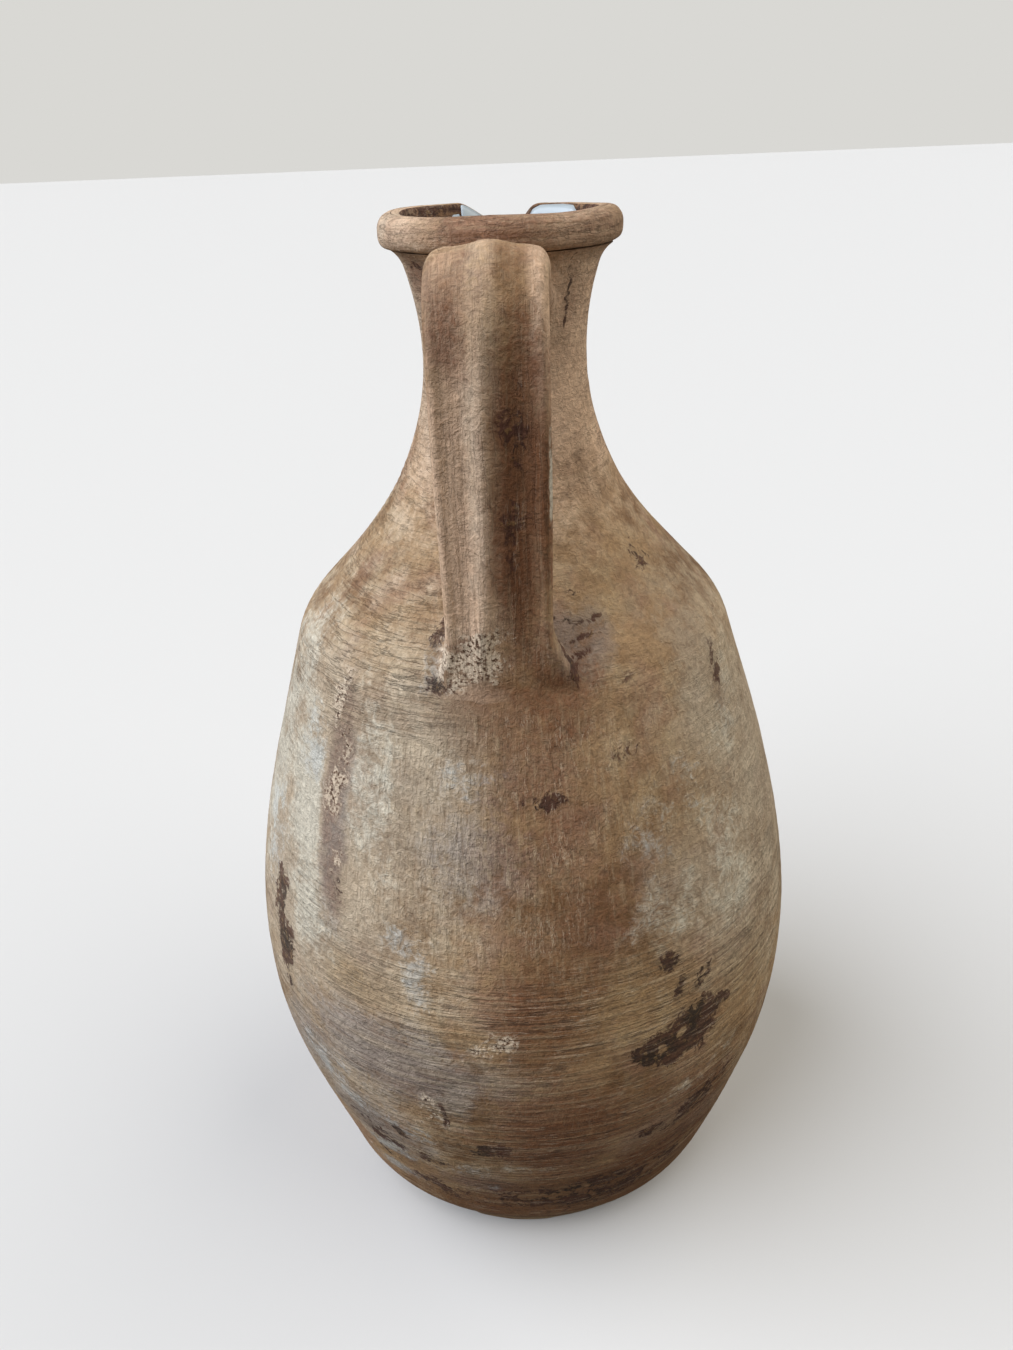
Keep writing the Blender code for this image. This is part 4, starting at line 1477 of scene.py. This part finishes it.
def add_node(tree: Tree, kind: str, inputs: dict | None = None, **settings: object) -> bpy.types.Node:
    """Add a shader node with its settings, its values and its links.

    Args:
        tree: Node tree that gets the node.
        kind: Blender's name of the node's type.
        inputs: For an input's name or number, a value or the output socket that feeds it.
        settings: Properties of the node.

    Returns:
        The new node.
    """
    node = tree.nodes.new(kind)
    for name, value in settings.items():
        setattr(node, name, value)
    for name, value in (inputs or {}).items():
        if isinstance(value, Socket):
            tree.links.new(value, node.inputs[name])
        else:
            node.inputs[name].default_value = value
    return node


class Palette:
    """The patterns and coats of one clay, laid into a node tree. Sizes are in millimetres."""

    def __init__(self, tree: Tree) -> None:
        """Start from the piece's own coordinates.

        Args:
            tree: Node tree that gets the nodes.
        """
        self.tree = tree
        place = add_node(tree, "ShaderNodeTexCoord").outputs["Object"]
        self.place = add_node(tree, "ShaderNodeVectorMath", {0: place, "Scale": 1.0 / METRES},
                              operation="SCALE").outputs[0]

    def lumps(self, size: float, detail: float, rough: float, shift: float = 0.0,
              swirl: float = 0.0) -> Socket:
        """Return a noise of soft lumps.

        Args:
            size: Size of the lumps.
            detail: Finer layers in it.
            rough: Strength of the finer layers.
            shift: How far the pattern is moved, so that no two match.
            swirl: How far it is drawn into curls.

        Returns:
            The noise.
        """
        moved = add_node(self.tree, "ShaderNodeVectorMath", {0: self.place, 1: (shift,) * 3}, operation="ADD")
        return add_node(self.tree, "ShaderNodeTexNoise", {
            "Vector": moved.outputs[0], "Scale": 1.0 / size, "Detail": detail, "Roughness": rough,
            "Distortion": swirl}).outputs[0]

    def strokes(self, grain: Socket, along: float, over: float) -> Socket:
        """Return a noise drawn out by a tool.

        Args:
            grain: Places unrolled for the tool.
            along: Size of the strokes round the body, or along the strap.
            over: Their size up the body, or across the strap.

        Returns:
            The noise.
        """
        scale = (1.0 / along, 1.0 / along, 1.0 / over)
        drawn = add_node(self.tree, "ShaderNodeVectorMath", {0: grain, 1: scale}, operation="MULTIPLY")
        return add_node(self.tree, "ShaderNodeTexNoise", {
            "Vector": drawn.outputs[0], "Scale": 1.0, "Detail": 4.0, "Roughness": 0.6}).outputs[0]

    def total(self, *parts: tuple) -> Socket:
        """Return a sum of values.

        Args:
            parts: For each, the value, its weight, and the shares that it is kept to, if any.

        Returns:
            The sum.
        """
        total = 0.0
        for value, weight, *shares in parts:
            value = self.kept(value, *shares)
            total = add_node(self.tree, "ShaderNodeMath", {0: value, 1: weight, 2: total},
                             operation="MULTIPLY_ADD").outputs[0]
        return total

    def kept(self, value: Socket, *shares: Socket | float) -> Socket:
        """Return a value kept to shares, which are masks or amounts.

        Args:
            value: Value or mask.
            shares: What it is kept to, if anything.

        Returns:
            The value times every share.
        """
        for share in shares:
            value = add_node(self.tree, "ShaderNodeMath", {0: value, 1: share},
                             operation="MULTIPLY").outputs[0]
        return value

    def mask(self, value: Socket, low: float, high: float, *shares: Socket) -> Socket:
        """Return a soft-edged mask of where a value is past a limit.

        Args:
            value: Value that is looked at.
            low: Value at which the mask starts.
            high: Value at which it is full, which may be the lower one.
            shares: Masks that it is kept to.

        Returns:
            The mask.
        """
        made = add_node(self.tree, "ShaderNodeMapRange", {"Value": value, "From Min": low, "From Max": high},
                        interpolation_type="SMOOTHSTEP").outputs[0]
        return self.kept(made, *shares)

    def line(self, value: Socket, level: float, width: float, *shares: Socket) -> Socket:
        """Return a mask of the thin soft line where a value crosses a level.

        Args:
            value: Value that is looked at.
            level: The level.
            width: How far from the level the line ends.
            shares: Masks that it is kept to.

        Returns:
            The mask.
        """
        off = add_node(self.tree, "ShaderNodeMath", {0: value, 1: level}, operation="SUBTRACT").outputs[0]
        far = add_node(self.tree, "ShaderNodeMath", {0: off}, operation="ABSOLUTE").outputs[0]
        return self.mask(far, width, 0.0, *shares)

    def patch(self, paint: Paint, torn: Socket, ragged: float, low: float, high: float) -> Socket:
        """Return the mask of a paint's patches, torn at their edges.

        Args:
            paint: The paint, whose attribute holds the plain patches.
            torn: Pattern that tears them.
            ragged: How far it does.
            low: Level at which the mask starts.
            high: Level at which it is full.

        Returns:
            The mask.
        """
        plain = add_node(self.tree, "ShaderNodeAttribute", attribute_name=paint.value).outputs["Fac"]
        level = self.total((plain, 1.0), (torn, ragged))
        return self.mask(level, low, high, self.mask(plain, 0.02, 0.30))

    def lay(self, under: Socket | tuple, over: Socket | str, mask: Socket, amount: float = 1.0) -> Socket:
        """Lay one colour over another.

        Args:
            under: Colour below, as a socket or in linear light.
            over: Colour above, as a socket or as sRGB hex.
            mask: Where it lies.
            amount: How much of it covers there.

        Returns:
            The two together.
        """
        over = linear(over) if isinstance(over, str) else over
        return add_node(self.tree, "ShaderNodeMix", {0: self.kept(mask, amount), 6: under, 7: over},
                        data_type="RGBA").outputs[2]


@dataclass(frozen=True)
class Earthenware:
    """Low-fired unglazed earthenware, thrown, wiped and scraped.

    It is matt and slightly chalky: brown clay with paler slip dragged over it along the tool's strokes,
    and with soot, crust and earth in patches. Some of its dark patches are painted shade, some pale ones are
    painted light, and its scratches carry painted shade and highlight. Its grit is 0.2 to 0.5 mm, drawn here
    up to twice as coarse so that it shows.
    """

    name: str
    deep: str = "7E5C3A"
    clay: str = "AE8D66"
    slip: str = "CCB692"
    blush: str = "9E7760"
    soot: str = "241A12"
    plum: str = "523123"
    umber: str = "6E4425"
    pale_crust_and_highlight: str = "E8D4B8"
    crust_dark: str = "6A4E39"
    cream: str = "D4CFBC"
    chalk: str = "C0C2BC"
    ochre: str = "97774A"
    rust: str = "7A5038"
    ash: str = "958C86"
    wash: str = "C6B79F"
    buff: str = "DFBD9E"
    roughness: float = 0.78
    index: float = 1.5
    relief: float = 1.2
    mottle_size: float = 34.0
    blush_size: float = 19.0
    cloud_size: float = 11.0
    crinkle_size: float = 3.6
    crackle_size: float = 1.9
    grain_size: float = 1.1
    fleck_size: float = 0.8

    def make(self) -> Material:
        """Build the material.

        Returns:
            The new material.
        """
        material = bpy.data.materials.new(self.name)
        tree = empty_tree(material)
        clay = Palette(tree)
        grain = add_node(tree, "ShaderNodeAttribute", attribute_name="grain").outputs["Vector"]
        wheel = add_node(tree, "ShaderNodeAttribute", attribute_name="wheel").outputs["Fac"]
        brushed = add_node(tree, "ShaderNodeAttribute", attribute_name="brush").outputs["Fac"]
        cloud = clay.lumps(self.cloud_size, 6.0, 0.62, shift=37.0)
        crinkle = clay.lumps(self.crinkle_size, 4.0, 0.62, shift=11.0, swirl=1.6)
        crackle = clay.lumps(self.crackle_size, 3.0, 0.6, shift=23.0, swirl=0.9)
        fleck = clay.lumps(self.fleck_size, 3.0, 0.7)
        # The tool's strokes waver up and down with the clay under them.
        wave = clay.total((crinkle, 0.3), (cloud, 1.3))
        wave = add_node(tree, "ShaderNodeCombineXYZ", {"Z": wave}).outputs[0]
        grain = add_node(tree, "ShaderNodeVectorMath", {0: grain, 1: wave}, operation="ADD").outputs[0]
        wipe = clay.strokes(grain, 34.0, 1.3)
        brush = clay.strokes(grain, 1.3, 9.0)
        scratch = clay.strokes(grain, 30.0, 2.4)

        torn = clay.total((cloud, 1.0), (crinkle, 0.7))
        torn = add_node(tree, "ShaderNodeMath", {0: torn, 1: -0.85}, operation="ADD").outputs[0]
        colour = self.coated(clay, cloud, torn)
        for share, lines, strength in ((wheel, clay.strokes(grain, 60.0, 6.5), 0.24), (wheel, wipe, 0.34),
                                       (brushed, brush, 0.28)):
            colour = clay.lay(colour, self.deep, clay.mask(lines, 0.48, 0.32, share), strength)
            colour = clay.lay(colour, self.slip, clay.mask(lines, 0.52, 0.68, share), 0.8 * strength)
        for value, depth in ((cloud, 0.07), (crinkle, 0.14), (crackle, 0.22)):
            shade = add_node(tree, "ShaderNodeMapRange", {
                "Value": value, "From Min": 0.30, "From Max": 0.70, "To Min": 1.0 - depth,
                "To Max": 1.0 + depth}).outputs[0]
            colour = add_node(tree, "ShaderNodeVectorMath", {0: colour, "Scale": shade},
                              operation="SCALE").outputs[0]
        colour = self.soiled(clay, colour, torn, cloud, crackle)
        broken = clay.mask(cloud, 0.38, 0.60)
        # Scratches: a dark line in each, partly grime and partly painted shade of the groove, and beside it a
        # pale line that is a painted highlight on the groove's edge.
        for value, share in ((scratch, wheel), (clay.strokes(grain, 2.2, 12.0), brushed)):
            colour = clay.lay(colour, self.soot, clay.line(value, 0.50, 0.022, share, broken), 0.45)
            colour = clay.lay(colour, self.pale_crust_and_highlight, clay.line(value, 0.56, 0.016, share, broken), 0.36)
        colour = clay.lay(colour, self.pale_crust_and_highlight, clay.mask(fleck, 0.72, 0.80), 0.7)
        colour = clay.lay(colour, self.soot, clay.mask(fleck, 0.34, 0.22), 0.45)

        groove = clay.line(scratch, 0.50, 0.022, wheel)
        height = clay.total((wipe, 0.9, wheel), (brush, 0.7, brushed), (groove, -0.25), (crinkle, 0.5),
                            (crackle, 0.6), (fleck, 0.25), (cloud, 0.4))
        bump = add_node(tree, "ShaderNodeBump", {"Strength": 0.9, "Distance": self.relief * METRES,
                                                 "Height": height})
        rough = add_node(tree, "ShaderNodeMapRange", {
            "Value": crinkle, "From Min": 0.3, "From Max": 0.7, "To Min": self.roughness - 0.10,
            "To Max": self.roughness + 0.08}).outputs[0]
        shader = add_node(tree, "ShaderNodeBsdfPrincipled", {
            "Base Color": colour, "Roughness": rough, "Specular IOR Level": 0.35, "IOR": self.index,
            "Normal": bump.outputs[0]})
        add_node(tree, "ShaderNodeOutputMaterial", {"Surface": shader.outputs[0]})
        return material

    def coated(self, clay: Palette, cloud: Socket, torn: Socket) -> Socket:
        """Lay the slip, and the paints that are part of the fired skin.

        Args:
            clay: Palette of the material.
            cloud: Pattern of broad lumps.
            torn: Pattern that tears the patches.

        Returns:
            The colour.
        """
        mottle = clay.lumps(self.mottle_size, 6.0, 0.62)
        blush = clay.lumps(self.blush_size, 4.0, 0.55, shift=90.0)
        colour = clay.lay(linear(self.deep), self.clay, clay.mask(mottle, 0.34, 0.60))
        colour = clay.lay(colour, self.slip, clay.mask(cloud, 0.42, 0.70), 0.60)
        colour = clay.lay(colour, self.blush, clay.mask(blush, 0.50, 0.68), 0.50)
        # Each paint's colour, the levels at which it starts and is full, how well it covers, how ragged it is.
        for paint, shade, low, high, amount, ragged in (
                # Buff, wash and cream lay painted light as well as pale coats, and umber painted shade as well
                # as brown earth.
                (Paint.BUFF, self.buff, 0.05, 0.95, 0.82, 0.9),
                (Paint.WASH, self.wash, 0.05, 0.95, 0.72, 0.9),
                (Paint.ASH, self.ash, 0.10, 0.85, 0.65, 1.3),
                (Paint.OCHRE, self.ochre, 0.10, 0.85, 0.65, 1.3),
                (Paint.RUST, self.rust, 0.10, 0.90, 0.80, 1.2),
                (Paint.UMBER, self.umber, 0.05, 0.90, 0.80, 1.0),
                (Paint.CREAM, self.cream, 0.20, 0.75, 0.70, 1.4),
                (Paint.CHALK, self.chalk, 0.25, 0.75, 0.60, 1.6)):
            colour = clay.lay(colour, shade, clay.patch(paint, torn, ragged, low, high), amount)
        return colour

    def soiled(self, clay: Palette, colour: Socket, torn: Socket, cloud: Socket, crackle: Socket) -> Socket:
        """Lay soot with earth in it, which in places is painted shade, and the pale pitted crust.

        Args:
            clay: Palette of the material.
            colour: Colour so far.
            torn: Pattern that tears the patches.
            cloud: Pattern of broad lumps.
            crackle: Pattern of fine curled lumps.

        Returns:
            The new colour.
        """
        soil = clay.lay(linear(self.soot), self.plum, clay.mask(cloud, 0.40, 0.60))
        soil = clay.lay(soil, self.ochre, clay.mask(crackle, 0.56, 0.66), 0.50)
        colour = clay.lay(colour, soil, clay.patch(Paint.SOOT, torn, 2.2, 0.36, 0.62), 0.90)
        crust = clay.patch(Paint.CRUST, torn, 2.2, 0.30, 0.70)
        grains = clay.lumps(self.grain_size, 2.0, 0.6, shift=5.0)
        grit = clay.lay(linear(self.crust_dark), self.pale_crust_and_highlight, clay.mask(grains, 0.39, 0.53))
        colour = clay.lay(colour, grit, crust, 0.82)
        return clay.lay(colour, self.soot, clay.mask(grains, 0.38, 0.30, crust), 0.70)


@dataclass(frozen=True)
class WhiteGlaze:
    """Tin-white glaze, poured in and fired: glassy, cool white, with faint clouds where it runs thin."""

    name: str = "white_glaze"
    white: str = "C8D1D4"
    thin: str = "A9B4B8"
    roughness: float = 0.14
    index: float = 1.52
    cloud_size: float = 16.67

    def make(self) -> Material:
        """Build the material.

        Returns:
            The new material.
        """
        material = bpy.data.materials.new(self.name)
        tree = empty_tree(material)
        glaze = Palette(tree)
        cloud = add_node(tree, "ShaderNodeTexNoise", {
            "Vector": glaze.place, "Scale": 1.0 / self.cloud_size, "Detail": 3.0}).outputs[0]
        rough = add_node(tree, "ShaderNodeMapRange", {
            "Value": cloud, "To Min": self.roughness, "To Max": self.roughness + 0.12}).outputs[0]
        shader = add_node(tree, "ShaderNodeBsdfPrincipled", {
            "Base Color": glaze.lay(linear(self.white), self.thin, cloud), "Roughness": rough,
            "IOR": self.index})
        add_node(tree, "ShaderNodeOutputMaterial", {"Surface": shader.outputs[0]})
        return material


@dataclass(frozen=True)
class SoftLight:
    """A soft, wide light from far away. Its angles are in degrees, and its azimuth is from -Y towards +X."""

    name: str
    azimuth: float
    rise: float
    spread: float
    power: float
    colour: str

    def add(self) -> None:
        """Put the light in the scene."""
        data = bpy.data.lights.new(self.name, "SUN")
        data.angle = math.radians(self.spread)
        data.energy = self.power
        data.color = linear(self.colour)[:3]
        lamp = put_in_scene(self.name, data)
        turn, lift = math.radians(self.azimuth), math.radians(self.rise)
        source = Vector((math.sin(turn) * math.cos(lift), -math.cos(turn) * math.cos(lift), math.sin(lift)))
        lamp.location = source * 2.0
        lamp.rotation_euler = (-source).to_track_quat("-Z", "Y").to_euler()


@dataclass(frozen=True)
class Studio:
    """Plain pale floor, soft lights, and the camera at the photograph's angle."""

    turn: float = 3.65
    distance: float = 327.7
    height: float = 373.8
    pitch: float = 27.14
    roll: float = 2.32
    yaw: float = -0.58
    focal_pixels: float = 1014.0
    frame_height: float = 1350.0
    sensor: float = 36.0
    pale: str = "D9D8D4"
    floor_bounce: str = "5C5850"
    room_light: str = "ECEAE6"
    room_strength: float = 0.26
    floor_size: float = 60.0
    lights: tuple[SoftLight, ...] = (
        SoftLight("window", -70.0, 42.0, 70.0, 3.75, "EEF3FF"),
        SoftLight("room", 98.0, 40.0, 80.0, 1.80, "F8F4EE"),
    )

    def camera(self) -> Piece:
        """Place the camera.

        Returns:
            The camera object.
        """
        yaw, pitch, roll = (math.radians(angle) for angle in (self.yaw, self.pitch, self.roll))
        ahead = Vector((math.sin(yaw) * math.cos(pitch), math.cos(yaw) * math.cos(pitch), -math.sin(pitch)))
        level = Vector((math.cos(yaw), -math.sin(yaw), 0.0))
        down = ahead.cross(level)
        right = level * math.cos(roll) + down * math.sin(roll)
        below = down * math.cos(roll) - level * math.sin(roll)
        axes = Matrix((right, -below, -ahead)).transposed().to_4x4()
        place = Matrix.Translation((0.0, -self.distance * METRES, self.height * METRES))
        data = bpy.data.cameras.new("camera")
        data.sensor_width = self.sensor
        data.lens = self.focal_pixels * self.sensor / self.frame_height
        data.clip_start = 0.01
        data.clip_end = 50.0
        camera = put_in_scene("camera", data)
        camera.matrix_world = Matrix.Rotation(math.radians(self.turn), 4, "Z") @ place @ axes
        bpy.context.scene.camera = camera
        return camera

    def floor(self) -> Piece:
        """Make the pale floor, which looks pale but throws back only a little light.

        Returns:
            The floor object.
        """
        shape = bmesh.new()
        bmesh.ops.create_grid(shape, x_segments=1, y_segments=1, size=self.floor_size)
        mesh = bpy.data.meshes.new("floor")
        shape.to_mesh(mesh)
        shape.free()
        material = bpy.data.materials.new("studio_floor")
        tree = empty_tree(material)
        seen = add_node(tree, "ShaderNodeLightPath").outputs["Is Camera Ray"]
        colour = add_node(tree, "ShaderNodeMix", {
            0: seen, 6: linear(self.floor_bounce), 7: linear(self.pale)}, data_type="RGBA").outputs[2]
        shader = add_node(tree, "ShaderNodeBsdfPrincipled", {"Base Color": colour, "Roughness": 0.9,
                                                             "Specular IOR Level": 0.1})
        add_node(tree, "ShaderNodeOutputMaterial", {"Surface": shader.outputs[0]})
        mesh.materials.append(material)
        floor = put_in_scene("floor", mesh)
        return floor

    def world(self) -> None:
        """Set the even light of the room, behind which the eye sees the floor's pale colour."""
        world = bpy.data.worlds.new("room")
        tree = empty_tree(world)
        seen = add_node(tree, "ShaderNodeLightPath").outputs["Is Camera Ray"]
        shade = add_node(tree, "ShaderNodeMix", {
            0: seen, 6: linear(self.room_light), 7: linear(self.pale)}, data_type="RGBA").outputs[2]
        level = add_node(tree, "ShaderNodeMapRange", {"Value": seen, "To Min": self.room_strength,
                                                      "To Max": 1.0}).outputs[0]
        back = add_node(tree, "ShaderNodeBackground", {"Color": shade, "Strength": level})
        add_node(tree, "ShaderNodeOutputWorld", {"Surface": back.outputs[0]})
        bpy.context.scene.world = world

    def build(self) -> None:
        """Set up the whole studio."""
        self.camera()
        self.floor()
        for light in self.lights:
            light.add()
        self.world()
        bpy.context.scene.view_settings.view_transform = "Standard"


def main() -> None:
    """Build every piece of the jug and the studio round it."""
    logging.basicConfig(level=logging.INFO, format="%(name)s: %(message)s")
    skin = ClaySkin(JugSurface())
    shop = Workshop()
    slots = ("floor_clay", "body_clay", "neck_clay", "collar_clay", "handle_clay", "pad_clay")
    materials = {slot: Earthenware(slot).make() for slot in slots}
    # The neck's inner edge stands a little above the crease, inside the collar.
    walls = (
        ThrownWall("base_disc", 0.0, 9.15, 8, 0, "floor_clay", foot=True),
        ThrownWall("belly_wall", 9.15, 226.6, 200, 10, "body_clay"),
        ThrownWall("shoulder", 226.6, 284.7, 96, 6, "body_clay"),
        ThrownWall("neck", 284.7, 351.2, 88, 8, "neck_clay"),
    )
    pieces = [wall.build(skin, shop, materials[wall.slot]) for wall in walls]
    pieces += StrapHandle().build(skin, shop, materials)
    pieces.append(RimCollar().build(skin, shop, materials["collar_clay"]))
    pieces.append(GlazeLining().build(skin, shop, WhiteGlaze().make()))
    shop.shade()
    for piece in pieces:
        LOG.info("%s: %d faces", piece.name, len(piece.data.polygons))
    Studio().build()


if __name__ == "__main__":
    main()
